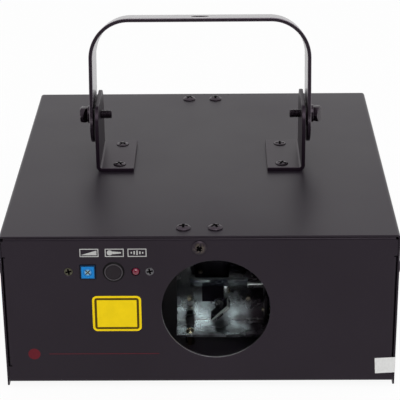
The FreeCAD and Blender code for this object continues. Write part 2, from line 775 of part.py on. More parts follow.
def ear_corner(end):
    """What is cut off a top corner of the bracket's ear to round it."""
    edge = PIVOT_Y + end * BRACKET_DEPTH / 2
    centre_y = edge - end * BRACKET_CORNER
    centre_z = TOP + BRACKET_HEIGHT - BRACKET_CORNER
    y0, y1 = sorted((edge, centre_y))
    inside = BRACKET_X - BRACKET_SHEET
    corner = block(inside, BRACKET_X, y0, y1, centre_z, TOP + BRACKET_HEIGHT)
    return corner.cut(rod(inside, centre_y, centre_z, X, BRACKET_CORNER, BRACKET_SHEET))


def bracket_screws():
    """Flat-head screws that sit a little deep in the brackets' countersinks."""
    screw = flat_screw(M4_FLAT_RADIUS, M4_RADIUS, BRACKET_SCREW_LENGTH, M4_RECESS)
    head = TOP + BRACKET_SHEET - BRACKET_SCREW_SINK
    return group([seat(screw, x, y, head, Z) for x, y in bracket_screw_places()])


def bracket_nuts():
    piece = nut(M4_NUT_FLATS, M4_NUT_HEIGHT, M4_RADIUS)
    return group([seat(piece, x, y, CEILING - M4_NUT_HEIGHT, Z) for x, y in bracket_screw_places()])


def yoke():
    """A flat strap bent to a U, round at its ends, with a hanging hole, leaning back on its bolts."""
    half_strap = YOKE_STRAP / 2
    front = PIVOT_Y - half_strap
    half = YOKE_WIDTH / 2
    crown = PIVOT_Z + YOKE_LENGTH
    tail = PIVOT_Z - half_strap
    path = [at(-half, front, tail), at(-half, front, crown), at(half, front, crown), at(half, front, tail)]
    strap = folded(path, YOKE_SHEET, YOKE_BEND, Y * YOKE_STRAP)
    tails = block(-half, half, front, front + YOKE_STRAP, tail, PIVOT_Z)
    strap = strap.cut(tails.cut(rod(-half, PIVOT_Y, PIVOT_Z, X, half_strap, YOKE_WIDTH)))
    strap = with_round_rims(strap, YOKE_SHEET, YOKE_EDGE)
    holes = [rod(-half, PIVOT_Y, PIVOT_Z, X, BOLT_RADIUS + SCREW_FIT, YOKE_WIDTH),
             rod(0, PIVOT_Y, crown - YOKE_SHEET, Z, YOKE_HOLE_RADIUS, YOKE_SHEET)]
    return turned(strap.cut(holes), at(0, PIVOT_Y, PIVOT_Z), X, -YOKE_LEAN)


def friction_washers():
    """The washers between each ear and the yoke."""
    washer = ring(BRACKET_X, PIVOT_Y, PIVOT_Z, X, WASHER_RADIUS, BOLT_RADIUS + SCREW_FIT, WASHER_SHEET)
    return group([washer, mirrored(washer)])


def right_yoke_bolt():
    """A hex bolt with a washer face, screwed through the yoke into the ear."""
    length = YOKE_WIDTH / 2 - BRACKET_X + BRACKET_SHEET + BOLT_REACH
    tip = BOLT_RADIUS - BOLT_CHAMFER
    shank = lathe([(0, 0), (0, -length), (tip, -length), (BOLT_RADIUS, -length + BOLT_CHAMFER),
                   (BOLT_RADIUS, 0), (BOLT_FLANGE_RADIUS, 0), (BOLT_FLANGE_RADIUS, BOLT_FLANGE_HEIGHT),
                   (0, BOLT_FLANGE_HEIGHT)])
    corner = BOLT_HEAD_FLATS / math.sqrt(3)
    crest = BOLT_HEAD_FLATS / 2 - BOLT_CHAMFER
    dome = lathe([(0, 0), (corner, 0), (corner, BOLT_HEAD_HEIGHT - (corner - crest) / 2),
                  (crest, BOLT_HEAD_HEIGHT), (0, BOLT_HEAD_HEIGHT)])
    head = hexagon(BOLT_HEAD_FLATS, BOLT_HEAD_HEIGHT).common(dome)
    head.translate(Z * BOLT_FLANGE_HEIGHT)
    return seat(shank.fuse(head), YOKE_WIDTH / 2, PIVOT_Y, PIVOT_Z, X)


def feet():
    """Tapered rubber feet with a recess for the screw head."""
    shank = M4_RADIUS + SCREW_FIT
    recess = M4_PAN_RADIUS + FOOT_RECESS_FIT
    foot = lathe([(recess, 0), (FOOT_RADIUS - FOOT_TAPER, 0), (FOOT_RADIUS, FOOT_HEIGHT), (shank, FOOT_HEIGHT),
                  (shank, FOOT_RECESS), (recess, FOOT_RECESS)])
    return group([seat(foot, x, y, 0, Z) for x, y in foot_places()])


def foot_screws():
    screw = m4_pan_screw(FOOT_HEIGHT - FOOT_RECESS + FOOT_SCREW_GRIP)
    return group([seat(screw, x, y, FOOT_RECESS, Z * -1) for x, y in foot_places()])


def window_gasket():
    """A foam ring between the panel and the glass."""
    return ring(WINDOW_X, FRONT_IN, WINDOW_Z, Y, GLASS_RADIUS, WINDOW_RADIUS + GASKET_STEP, GASKET_SHEET)


def window_glass():
    return rod(WINDOW_X, FRONT_IN + GASKET_SHEET, WINDOW_Z, Y, GLASS_RADIUS, GLASS_SHEET)


def window_clip():
    """A stepped strip that the panel screw holds over the rim of the glass."""
    rim = WINDOW_Z + math.sqrt(GLASS_RADIUS ** 2 - (abs(WINDOW_X) + CLIP_WIDTH / 2) ** 2)
    crest = WINDOW_Z + math.sqrt(GLASS_RADIUS ** 2 - max(0.0, abs(WINDOW_X) - CLIP_WIDTH / 2) ** 2)
    behind = FRONT_IN + GASKET_SHEET + GLASS_SHEET
    step = crest + CLIP_FIT
    left = -CLIP_WIDTH / 2
    flat = block(left, -left, FRONT_IN, FRONT_IN + CLIP_SHEET, step, CEILING - BEND_OUT - CLIP_FIT)
    shelf = block(left, -left, FRONT_IN, behind + CLIP_SHEET, step, step + CLIP_SHEET)
    lip = block(left, -left, behind, behind + CLIP_SHEET, rim - CLIP_LAP, step + CLIP_SHEET)
    hole = rod(0, FRONT_IN, PANEL_SCREW_Z, Y, M4_RADIUS + SCREW_FIT, CLIP_SHEET)
    return flat.fuse([shelf, lip]).cut(hole).removeSplitter()


def control_board():
    """The board behind the sound controls, with a plug header and a chip on its back."""
    left = BOARD_SCREWS_X[0] - CONTROL_BOARD_MARGIN
    right = BOARD_SCREWS_X[1] + CONTROL_BOARD_MARGIN
    half = CONTROL_BOARD_HEIGHT / 2
    back = CONTROL_BOARD_Y + BOARD_SHEET
    board = block(left, right, CONTROL_BOARD_Y, back, CONTROL_Z - half, CONTROL_Z + half)
    neck = spacer_neck_radius() + SCREW_FIT
    board = board.cut([rod(x, CONTROL_BOARD_Y, CONTROL_Z, Y, neck, BOARD_SHEET) for x in BOARD_SCREWS_X])
    header = control_header()
    chip = block(LED_X - HEADER_SIDE / 2, LED_X + HEADER_SIDE / 2, back, back + BOARD_SHEET,
                 CONTROL_Z - half / 2, CONTROL_Z + half / 2)
    return group([board, header, chip])


def control_header():
    """The plug header on the back of the control board."""
    back = CONTROL_BOARD_Y + BOARD_SHEET
    half = HEADER_SIDE / 2
    return block(POT_X - half, POT_X + half, back, back + HEADER_HEIGHT, CONTROL_Z - half, CONTROL_Z + half)


def spacer_neck_radius():
    """Radius of the neck that a spacer pushes through its board."""
    return SPACER_FLATS / 2 - SCREW_FIT * 2


def control_board_screws():
    screw = flat_screw(M3_FLAT_RADIUS, M3_RADIUS, SHEET + CONTROL_SPACER, M3_RECESS)
    return group([seat(screw, x, FRONT, CONTROL_Z, Y * -1) for x in BOARD_SCREWS_X])


def spacers():
    """All brass spacers: under the boards, the bench, and between the panel and the control board."""
    def pillar(height):
        return hexagon(SPACER_FLATS, height).cut(rod(0, 0, 0, Z, M3_RADIUS + SCREW_FIT, height))

    bore = M3_RADIUS + SCREW_FIT
    cone = M3_FLAT_RADIUS - M3_RADIUS
    sunk = max(0.0, cone - SHEET) + SCREW_FIT
    necked = pillar(CONTROL_SPACER)
    neck = ring(0, 0, CONTROL_SPACER, Z, spacer_neck_radius(), bore, BOARD_SHEET)
    mouth = lathe([(0, 0), (bore + sunk, 0), (bore, sunk), (0, sunk)])
    necked = necked.fuse(neck).cut(mouth)
    pieces = [seat(necked, x, FRONT_IN, CONTROL_Z, Y) for x in BOARD_SCREWS_X]
    pieces += [seat(pillar(BOARD_SPACER), x, y, FLOOR, Z) for x, y in board_screw_places()]
    rise = UNDERSIDE + BENCH_RISE - FLOOR
    pieces += [seat(pillar(rise), x, y, FLOOR, Z) for x, y in bench_screw_places()]
    return group(pieces)


def board_screws():
    """Pan-head screws through the main board and the power supply into their spacers."""
    screw = m3_pan_screw(BOARD_SHEET + BOARD_SPACER / 2)
    return group([seat(screw, x, y, BOARD_TOP, Z) for x, y in board_screw_places()])


def sensitivity_pot():
    """The square trimmer body that shows through the panel, with a round seat for its rotor."""
    half = POT_SIDE / 2
    face = FRONT - POT_PROUD
    body = block(POT_X - half, POT_X + half, face, CONTROL_BOARD_Y, CONTROL_Z - half, CONTROL_Z + half)
    return body.cut(rod(POT_X, face, CONTROL_Z, Y, POT_ROTOR_RADIUS + TURN_FIT, POT_ROTOR_DEPTH))


def sensitivity_rotor():
    """The slotted rotor of the trimmer."""
    face = FRONT - POT_PROUD
    rotor = rod(POT_X, face, CONTROL_Z, Y, POT_ROTOR_RADIUS, POT_ROTOR_DEPTH)
    half = POT_SLOT / 2
    reach = POT_ROTOR_RADIUS
    deep = face + POT_ROTOR_DEPTH / 2
    slot = block(POT_X - reach, POT_X + reach, face, deep, CONTROL_Z - half, CONTROL_Z + half)
    cross = block(POT_X - half, POT_X + half, face, deep, CONTROL_Z - reach, CONTROL_Z + reach)
    return rotor.cut([slot, cross])


def microphone():
    """The electret capsule, flush with the boot's lip, on two stiff legs down to the board."""
    face = FRONT - BOOT_LIP + MICROPHONE_SUNK
    back = face + MICROPHONE_LENGTH
    capsule = rod(MICROPHONE_X, face, CONTROL_Z, Y, MICROPHONE_RADIUS, MICROPHONE_LENGTH)
    half = MICROPHONE_LEG_SPACING / 2
    legs = [rod(MICROPHONE_X + side * half, back, CONTROL_Z, Y, MICROPHONE_LEG_RADIUS, CONTROL_BOARD_Y - back)
            for side in (-1, 1)]
    return capsule.fuse(legs)


def microphone_boot():
    """The rubber sleeve that holds the capsule in the panel."""
    bore = MICROPHONE_RADIUS + BOOT_FIT
    round_lip = BOOT_LIP / 2
    sleeve = lathe([(bore, 0), (BOOT_LIP_RADIUS, 0), (BOOT_LIP_RADIUS, round_lip),
                    (BOOT_LIP_RADIUS - round_lip, BOOT_LIP), (bore + round_lip, BOOT_LIP),
                    (bore, BOOT_LIP - round_lip)])
    tail = ring(MICROPHONE_X, FRONT, CONTROL_Z, Y, BOOT_RADIUS, bore, BOOT_TAIL)
    return seat(sleeve, MICROPHONE_X, FRONT, CONTROL_Z, Y * -1).fuse(tail)


def sound_led():
    """A round lamp with its rim behind the panel and its dome through it."""
    tip = FRONT - LED_PROUD
    base = CONTROL_BOARD_Y
    lens = rod(LED_X, tip + LED_RADIUS, CONTROL_Z, Y, LED_RADIUS, base - tip - LED_RADIUS)
    dome = Part.makeSphere(LED_RADIUS, at(LED_X, tip + LED_RADIUS, CONTROL_Z))
    front_half = block(LED_X - LED_RADIUS, LED_X + LED_RADIUS, tip, tip + LED_RADIUS,
                       CONTROL_Z - LED_RADIUS, CONTROL_Z + LED_RADIUS)
    rim = rod(LED_X, base - LED_RIM, CONTROL_Z, Y, LED_RIM_RADIUS, LED_RIM)
    return lens.fuse([dome.common(front_half), rim])


def optics_bench():
    """A folded aluminium bench: a raised floor, a back wall and an ear for the second motor."""
    low = UNDERSIDE + BENCH_RISE
    path = [at(BENCH_LEFT, BENCH_FRONT, low), at(BENCH_LEFT, WALL_FRONT + BENCH_SHEET, low),
            at(BENCH_LEFT, WALL_FRONT + BENCH_SHEET, low + BENCH_WALL)]
    bench = folded(path, BENCH_SHEET, BENCH_BEND, X * (BENCH_RIGHT - BENCH_LEFT))
    ear_left = SCAN_X + EAR_X
    ear = block(ear_left, ear_left + BENCH_SHEET, WALL_FRONT - EAR_REACH, WALL_FRONT,
                BENCH_TOP + EAR_FOOT, BENCH_TOP + EAR_TOP)
    boss = MOTOR_BOSS_RADIUS + SCREW_FIT
    cuts = [rod(SCAN_X, WALL_FRONT, X_AXIS_Z, Y, boss, BENCH_SHEET),
            rod(ear_left, SCAN_Y, Y_AXIS_Z, X, boss, BENCH_SHEET)]
    cuts += [rod(x, y, low, Z, M3_RADIUS + SCREW_FIT, BENCH_SHEET) for x, y in bench_screw_places()]
    reach = BENCH_SHEET + MOTOR_TAB
    cuts += [rod(x, y, z, axis * -1, M3_RADIUS + SCREW_FIT, reach) for x, y, z, axis in motor_screw_places()]
    return bench.fuse(ear).cut(cuts)


def optics_screws():
    """Pan-head screws that hold the bench, the motors and the laser mount."""
    down = m3_pan_screw(BENCH_SHEET + BOARD_SPACER / 2)
    through = m3_pan_screw(MOTOR_TAB + BENCH_SHEET + M3_RADIUS)
    short = m3_pan_screw(LASER_PLATE)
    pieces = [seat(down, x, y, BENCH_TOP, Z) for x, y in bench_screw_places()]
    pieces += [seat(through, *place) for place in motor_screw_places()]
    pieces += [seat(short, x, y, FLOOR + LASER_PLATE, Z) for x, y in laser_mount_screw_places()]
    return group(pieces)


def scan_motor(tab_axis):
    """A small stepper can on +Z: its mounting face at the origin, a boss below, a blind shaft bore."""
    can = rod(0, 0, 0, Z, MOTOR_RADIUS, MOTOR_LENGTH)
    boss = rod(0, 0, -BENCH_SHEET, Z, MOTOR_BOSS_RADIUS, BENCH_SHEET)
    half = MOTOR_TAB_SPACING / 2
    tabs = []
    bore_depth = BENCH_SHEET + SHAFT_GRIP + SHAFT_END_GAP
    holes = [rod(0, 0, -BENCH_SHEET, Z, SHAFT_RADIUS + SHAFT_FIT, bore_depth)]
    for side in (-1, 1):
        end = tab_axis * (side * half)
        tabs.append(rod(end.x, end.y, 0, Z, MOTOR_TAB_RADIUS, MOTOR_TAB))
        holes.append(rod(end.x, end.y, 0, Z, M3_RADIUS + SCREW_FIT, MOTOR_TAB))
    across = tab_axis.cross(Z) * MOTOR_TAB_RADIUS
    along = tab_axis * half
    corners = [along + across, along - across, along * -1 - across, along * -1 + across, along + across]
    plate = Part.Face(Part.makePolygon(corners)).extrude(Z * MOTOR_TAB)
    return can.fuse([boss, plate] + tabs).cut(holes)


def x_scan_motor():
    return seat(scan_motor(X), SCAN_X, WALL_FRONT + BENCH_SHEET, X_AXIS_Z, Y)


def y_scan_motor():
    return seat(scan_motor(X), SCAN_X + EAR_X + BENCH_SHEET, SCAN_Y, Y_AXIS_Z, X)


def mirror_plate(length, width):
    """A mirror on the +Z axis whose silvered face lies on the axis and looks along +X."""
    return block(-MIRROR_SHEET, 0, -length / 2, length / 2, -width / 2, width / 2)


def mirror_holder(shaft_end, width):
    """A shaft on +Z, flattened behind the mirror, from the mirror's far end to inside the motor."""
    back = block(-HOLDER_RADIUS, -MIRROR_SHEET, -HOLDER_RADIUS, HOLDER_RADIUS, -width / 2, width / 2)
    flat = rod(0, 0, -width / 2, Z, HOLDER_RADIUS, width).common(back)
    collar_length = shaft_end - BENCH_SHEET - HOLDER_GAP - width / 2
    collar = rod(0, 0, width / 2, Z, HOLDER_RADIUS, collar_length)
    shaft = rod(0, 0, width / 2, Z, SHAFT_RADIUS, shaft_end - width / 2 + SHAFT_GRIP)
    return flat.fuse([collar, shaft])


def on_x_axis(shape):
    """Sets a scanner piece on the first axis, silvered face up and to the left."""
    tilted = turned(shape, at(0, 0, 0), Z, -(180 - MIRROR_ANGLE))
    return seat(tilted, SCAN_X, SCAN_Y, X_AXIS_Z, Y)


def on_y_axis(shape):
    """Sets a scanner piece on the second axis, silvered face down and to the front."""
    tilted = turned(shape, at(0, 0, 0), Z, -MIRROR_ANGLE)
    return seat(tilted, SCAN_X, SCAN_Y, Y_AXIS_Z, X)


def x_mirror():
    return on_x_axis(mirror_plate(X_MIRROR_LENGTH, X_MIRROR_WIDTH))


def x_mirror_holder():
    return on_x_axis(mirror_holder(WALL_FRONT + BENCH_SHEET - SCAN_Y, X_MIRROR_WIDTH))


def y_mirror():
    return on_y_axis(mirror_plate(Y_MIRROR_WIDTH, Y_MIRROR_LENGTH))


def y_mirror_holder():
    return on_y_axis(mirror_holder(EAR_X + BENCH_SHEET, Y_MIRROR_LENGTH))


def laser_mount():
    """A machined plate with a split saddle for each laser and a slotted post for the combiner."""
    front = FRONT + LASER_MOUNT_SETBACK
    top = FLOOR + LASER_PLATE
    plate = block(LASER_MOUNT_LEFT, LASER_MOUNT_RIGHT, front, front + LASER_MOUNT_DEPTH, FLOOR, top)
    half = SADDLE_WIDTH / 2
    red_left = LASER_MOUNT_LEFT + SADDLE_INSET
    red = block(red_left, red_left + SADDLE_LENGTH, SCAN_Y - half, SCAN_Y + half, FLOOR,
                X_AXIS_Z + RED_RADIUS + SADDLE_CAP)
    green_back = front + LASER_MOUNT_DEPTH
    green = block(COMBINER_X - half, COMBINER_X + half, green_back - SADDLE_LENGTH, green_back, FLOOR,
                  X_AXIS_Z + GREEN_RADIUS + SADDLE_CAP)
    post = block(COMBINER_X - COMBINER_POST, COMBINER_X + COMBINER_POST, SCAN_Y - COMBINER_POST,
                 SCAN_Y + COMBINER_POST, FLOOR, X_AXIS_Z - COMBINER_SIDE / 2 + COMBINER_GRIP)
    cuts = [rod(red_left, SCAN_Y, X_AXIS_Z, X, RED_RADIUS + LASER_FIT, SADDLE_LENGTH),
            rod(COMBINER_X, green_back - SADDLE_LENGTH, X_AXIS_Z, Y, GREEN_RADIUS + LASER_FIT, SADDLE_LENGTH),
            combiner_plate(LASER_FIT)]
    cuts += [rod(x, y, FLOOR, Z, M3_RADIUS + SCREW_FIT, LASER_PLATE) for x, y in laser_mount_screw_places()]
    return plate.fuse([red, green, post]).cut(cuts)


def combiner_plate(fit):
    """The combiner's glass at 45 degrees, grown by a fit on each face but its foot."""
    half = COMBINER_SIDE / 2 + fit
    sheet = COMBINER_SHEET / 2 + fit
    low = X_AXIS_Z - COMBINER_SIDE / 2
    glass = block(COMBINER_X - half, COMBINER_X + half, SCAN_Y - sheet, SCAN_Y + sheet, low, low + 2 * half)
    return turned(glass, at(COMBINER_X, SCAN_Y, 0), Z, -MIRROR_ANGLE)


def combiner_mirror():
    return combiner_plate(0.0)


def laser_module(radius, length):
    """A laser barrel on +Z with a recessed lens opening at its front."""
    barrel = lathe([(0, 0), (radius, 0), (radius, length - LASER_CHAMFER), (radius - LASER_CHAMFER, length),
                    (0, length)])
    return barrel.cut(rod(0, 0, length - LASER_APERTURE_DEPTH, Z, LASER_APERTURE, LASER_APERTURE_DEPTH))


def red_laser_module():
    """The red laser, pointing along +X through the combiner."""
    start = COMBINER_X - COMBINER_SIDE / 2 - RED_LENGTH
    return seat(laser_module(RED_RADIUS, RED_LENGTH), start, SCAN_Y, X_AXIS_Z, X)


def green_laser_module():
    """The green laser, pointing along -Y at the combiner."""
    back = SCAN_Y + COMBINER_SIDE / 2 + GREEN_LENGTH
    return seat(laser_module(GREEN_RADIUS, GREEN_LENGTH), COMBINER_X, back, X_AXIS_Z, Y * -1)


def board_with_holes(x0, x1, y0, y1, screws):
    """A flat circuit board on its spacers."""
    board = block(x0, x1, y0, y1, BOARD_Z, BOARD_TOP)
    return board.cut([rod(x, y, BOARD_Z, Z, M3_RADIUS + SCREW_FIT, BOARD_SHEET) for x, y in screws])


def main_header(step):
    """Place of one plug header on the main board, counted from its left front corner."""
    x = MAIN_LEFT + 3 * BOARD_SCREW_INSET + step * 2 * HEADER_SIDE
    y = MAIN_FRONT + 2 * BOARD_SCREW_INSET + HEADER_SIDE / 2
    return x, y


def header_block(x, y):
    """A plug header standing on a board."""
    half = HEADER_SIDE / 2
    return block(x - half, x + half, y - half, y + half, BOARD_TOP, BOARD_TOP + HEADER_HEIGHT)


def main_board():
    """The control board with its plug headers, its processor and two heat sinks."""
    screws = board_corners(MAIN_LEFT, SIDE_LIMIT, MAIN_FRONT, MAIN_REAR - DIAL_BODY)
    board = board_with_holes(MAIN_LEFT, SIDE_LIMIT, MAIN_FRONT, MAIN_REAR, screws)
    pieces = [board] + [header_block(*main_header(step)) for step in range(4)]
    middle_x = (MAIN_LEFT + SIDE_LIMIT) / 2
    middle_y = (MAIN_FRONT + MAIN_REAR) / 2
    chip = CHIP_SIDE / 2
    pieces.append(block(middle_x - chip, middle_x + chip, middle_y - chip, middle_y + chip,
                        BOARD_TOP, BOARD_TOP + BOARD_SHEET))
    for side in (-1, 1):
        x = middle_x + side * SINK_SPACING / 2
        pieces.append(block(x - SINK_WIDTH / 2, x + SINK_WIDTH / 2, middle_y - SINK_LENGTH / 2,
                            middle_y + SINK_LENGTH / 2, BOARD_TOP, BOARD_TOP + SINK_HEIGHT))
    return group(pieces)


def power_supply():
    """The mains supply: a board with a transformer, two capacitors and its terminal block."""
    screws = board_corners(-SIDE_LIMIT, SUPPLY_RIGHT, SUPPLY_FRONT, SUPPLY_REAR)
    pieces = [board_with_holes(-SIDE_LIMIT, SUPPLY_RIGHT, SUPPLY_FRONT, SUPPLY_REAR, screws)]
    middle_x = (SUPPLY_RIGHT - SIDE_LIMIT) / 2
    middle_y = (SUPPLY_FRONT + SUPPLY_REAR) / 2
    core = TRANSFORMER_SIDE / 2
    pieces.append(block(middle_x - core, middle_x + core, middle_y - core, middle_y + core,
                        BOARD_TOP, BOARD_TOP + TRANSFORMER_HEIGHT))
    for side in (-1, 1):
        pieces.append(rod(middle_x + side * CAPACITOR_SPACING / 2, SUPPLY_FRONT + CAPACITOR_INSET, BOARD_TOP, Z,
                          CAPACITOR_RADIUS, CAPACITOR_HEIGHT))
    pieces.append(header_block(*supply_header()))
    return group(pieces)


def supply_header():
    """Place of the supply's mains terminal block."""
    return (SUPPLY_RIGHT - SIDE_LIMIT) / 2, SUPPLY_REAR - BOARD_SCREW_INSET - HEADER_SIDE / 2


def wire(points):
    """A round wire along the points, bent as gently as its runs allow."""
    radii = []
    for before, corner, after in zip(points, points[1:], points[2:]):
        half_turn = (corner - before).getAngle(after - corner) / 2
        shorter = min((corner - before).Length, (after - corner).Length)
        radii.append(0.45 * shorter / math.tan(half_turn))
    path = Part.Wire(rounded_edges(points, radii))
    start = Part.Wire(Part.makeCircle(WIRE_RADIUS, points[0], points[1] - points[0]))
    return path.makePipeShell([start], True, False)


def mains_wiring():
    """The pair of mains wires from the inlet to the supply's terminal block."""
    head_x, head_y = supply_header()
    top = BOARD_TOP + HEADER_HEIGHT
    back = REAR - INLET_BODY_DEPTH
    wires = []
    for step in (-1, 1):
        x0 = INLET_X + step * 2 * WIRE_RADIUS
        x1 = head_x + step * 1.5 * WIRE_RADIUS
        height = INLET_Z + INLET_BODY_HEIGHT / 4
        wires.append(wire([at(x0, back, height), at(x0, back - 5 * WIRE_RADIUS, height),
                           at(x1, head_y, height - 2 * WIRE_RADIUS), at(x1, head_y, top)]))
    return group(wires)


def signal_wiring():
    """The lead from the main board to the sound controls, over the optics."""
    x0, y0 = main_header(0)
    header = CONTROL_BOARD_Y + BOARD_SHEET + HEADER_HEIGHT
    low = BOARD_TOP + HEADER_HEIGHT
    high = CONTROL_Z
    return group([wire([at(x0, y0, low), at(x0, y0, low + 25), at(x0 - 15, y0 - 18, high - 8),
                        at(POT_X + 70, header + 72, high - 3), at(POT_X + 20, header + 38, high - 2),
                        at(POT_X, header + 16, high), at(POT_X, header, high)])])


def mains_inlet():
    """The mains inlet: a flanged body with a socket for the plug and a slot for the fuse drawer."""
    half_x, half_z = INLET_WIDTH / 2, INLET_HEIGHT / 2
    body_x, body_z = INLET_BODY_WIDTH / 2, INLET_BODY_HEIGHT / 2
    face = REAR + INLET_FLANGE
    flange = block(INLET_X - half_x, INLET_X + half_x, REAR, face, INLET_Z - half_z, INLET_Z + half_z)
    body = block(INLET_X - body_x, INLET_X + body_x, REAR - INLET_BODY_DEPTH, REAR,
                 INLET_Z - body_z, INLET_Z + body_z)
    fit = DRAWER_FIT
    slot = block(INLET_X - DRAWER_WIDTH / 2 - fit, INLET_X + DRAWER_WIDTH / 2 + fit, face - DRAWER_DEPTH - fit,
                 face, DRAWER_Z - DRAWER_HEIGHT / 2 - fit, DRAWER_Z + DRAWER_HEIGHT / 2 + fit)
    cuts = [plug_socket(), slot]
    cuts += [rod(x, REAR, z, Y, M3_RADIUS + SCREW_FIT, INLET_FLANGE) for x, z in inlet_screw_places()]
    return flange.fuse(body).cut(cuts).removeSplitter()


def plug_socket():
    """The hollow that takes the plug, with two slanted corners at the top."""
    half = SOCKET_WIDTH / 2
    low, high = SOCKET_LOW, SOCKET_LOW + SOCKET_HEIGHT
    slant = SOCKET_CHAMFER
    outline = [(-half, low), (half, low), (half, high - slant), (half - slant, high), (slant - half, high),
               (-half, high - slant), (-half, low)]
    points = [at(INLET_X + x, SOCKET_FLOOR, z) for x, z in outline]
    return Part.Face(Part.makePolygon(points)).extrude(Y * SOCKET_DEPTH)


def rear_contacts():
    """The three blades in the mains socket and the three pins in the signal input."""
    middle = SOCKET_LOW + SOCKET_HEIGHT / 2
    places = [(-BLADE_SPACING / 2, -BLADE_DROP), (BLADE_SPACING / 2, -BLADE_DROP), (0, EARTH_RISE)]
    blades = []
    for x, z in places:
        centre_x, centre_z = INLET_X + x, middle + z
        blades.append(block(centre_x - BLADE_WIDTH / 2, centre_x + BLADE_WIDTH / 2, SOCKET_FLOOR,
                            SOCKET_FLOOR + BLADE_LENGTH, centre_z - BLADE_HEIGHT / 2,
                            centre_z + BLADE_HEIGHT / 2))
    base = REAR + DMX_FLANGE - DMX_CAVITY_DEPTH
    pins = [rod(x, base, z, Y, DMX_PIN_RADIUS, DMX_PIN_LENGTH) for x, z in dmx_pin_places(DMX_IN_X)]
    return group(blades + pins)


def fuse_drawer():
    """The pull-out fuse drawer with its finger lip and a trough for the fuse."""
    face = REAR + INLET_FLANGE
    half_x, half_z = DRAWER_WIDTH / 2, DRAWER_HEIGHT / 2
    lap = DRAWER_LIP_LAP
    tray = block(INLET_X - half_x, INLET_X + half_x, face - DRAWER_DEPTH, face, DRAWER_Z - half_z,
                 DRAWER_Z + half_z)
    lip = block(INLET_X - half_x - lap, INLET_X + half_x + lap, face, face + DRAWER_LIP,
                DRAWER_Z - half_z - lap, DRAWER_Z + half_z + lap)
    trough = block(INLET_X - FUSE_RADIUS - DRAWER_FIT, INLET_X + FUSE_RADIUS + DRAWER_FIT,
                   fuse_start() - DRAWER_FIT, fuse_start() + FUSE_LENGTH + DRAWER_FIT,
                   DRAWER_Z - FUSE_RADIUS, DRAWER_Z + half_z)
    return tray.fuse(lip).cut(trough)


def fuse_start():
    """Inner end of the fuse in the drawer."""
    return REAR + INLET_FLANGE - DRAWER_DEPTH + FUSE_INSET


def fuse():
    return rod(INLET_X, fuse_start(), DRAWER_Z, Y, FUSE_RADIUS, FUSE_LENGTH)


def switch_body_width():
    return ROCKER_WIDTH + 2 * ROCKER_FIT + 2 * SWITCH_WALL


def switch_body_height():
    return 2 * (ROCKER_RADIUS + ROCKER_FIT + SWITCH_WALL)


def power_switch():
    """The snap-in switch body with its flange and the well for the rocker."""
    half_x, half_z = switch_body_width() / 2, switch_body_height() / 2
    well_x, well_z = half_x - SWITCH_WALL, half_z - SWITCH_WALL
    wide, tall = half_x + SWITCH_LAP, half_z + SWITCH_LAP
    face = REAR + SWITCH_FLANGE
    flange = block(INLET_X - wide, INLET_X + wide, REAR, face, SWITCH_Z - tall, SWITCH_Z + tall)
    body = block(INLET_X - half_x, INLET_X + half_x, REAR - SWITCH_BODY_DEPTH, REAR,
                 SWITCH_Z - half_z, SWITCH_Z + half_z)
    well = block(INLET_X - well_x, INLET_X + well_x, REAR - SWITCH_BODY_DEPTH + SWITCH_WALL, face,
                 SWITCH_Z - well_z, SWITCH_Z + well_z)
    pin = ROCKER_PIN_RADIUS + TURN_FIT
    bore = rod(INLET_X - half_x, ROCKER_Y, SWITCH_Z, X, pin, 2 * half_x)
    return flange.fuse(body).cut([well, bore]).removeSplitter()


def power_rocker():
    """The rocker: round ends about its pins and a dished face, at rest in its off position."""
    half = ROCKER_WIDTH / 2
    rest = at(INLET_X, ROCKER_Y, SWITCH_Z)
    drum = rod(INLET_X - half, ROCKER_Y, SWITCH_Z, X, ROCKER_RADIUS, ROCKER_WIDTH)
    crest = ROCKER_Y + ROCKER_CREST
    rise = ROCKER_RADIUS * math.tan(math.radians(ROCKER_DISH))
    outline = [(ROCKER_Y - ROCKER_CREST, -ROCKER_RADIUS), (crest + rise, -ROCKER_RADIUS), (crest, 0),
               (crest + rise, ROCKER_RADIUS), (ROCKER_Y - ROCKER_CREST, ROCKER_RADIUS)]
    points = [at(INLET_X - half, y, SWITCH_Z + z) for y, z in outline]
    dished = Part.Face(Part.makePolygon(points + points[:1])).extrude(X * ROCKER_WIDTH)
    pin = rod(INLET_X - half - ROCKER_PIN, ROCKER_Y, SWITCH_Z, X, ROCKER_PIN_RADIUS,
              ROCKER_WIDTH + 2 * ROCKER_PIN)
    return turned(drum.common(dished).fuse(pin), rest, X, -ROCKER_TILT)


def dmx_shell(x):
    """The flange and barrel that both signal sockets share."""
    half_x, half_z = DMX_WIDTH / 2, DMX_HEIGHT / 2
    flange = block(x - half_x, x + half_x, REAR, REAR + DMX_FLANGE, DMX_Z - half_z, DMX_Z + half_z)
    upright = [edge for edge in flange.Edges if abs(edge.tangentAt(edge.FirstParameter).y) > 0.5]
    flange = flange.makeFillet(DMX_CORNER, upright)
    barrel = rod(x, REAR - DMX_BODY_DEPTH, DMX_Z, Y, DMX_BODY_RADIUS, DMX_BODY_DEPTH)
    holes = [rod(hx, REAR, hz, Y, M3_RADIUS + SCREW_FIT, DMX_FLANGE) for hx, hz in dmx_screw_places()
             if abs(hx - x) < DMX_WIDTH / 2]
    return flange.fuse(barrel).cut(holes)


def dmx_pin_places(x):
    """Centres of the three contacts, one at the bottom."""
    angles = (30, 150, 270)
    return [(x + DMX_PIN_CIRCLE * math.cos(math.radians(a)), DMX_Z + DMX_PIN_CIRCLE * math.sin(math.radians(a)))
            for a in angles]


def dmx_in_socket():
    """The signal input: a round hollow with pins in it."""
    face = REAR + DMX_FLANGE
    hollow = rod(DMX_IN_X, face - DMX_CAVITY_DEPTH, DMX_Z, Y, DMX_CAVITY_RADIUS, DMX_CAVITY_DEPTH)
    return dmx_shell(DMX_IN_X).cut(hollow)


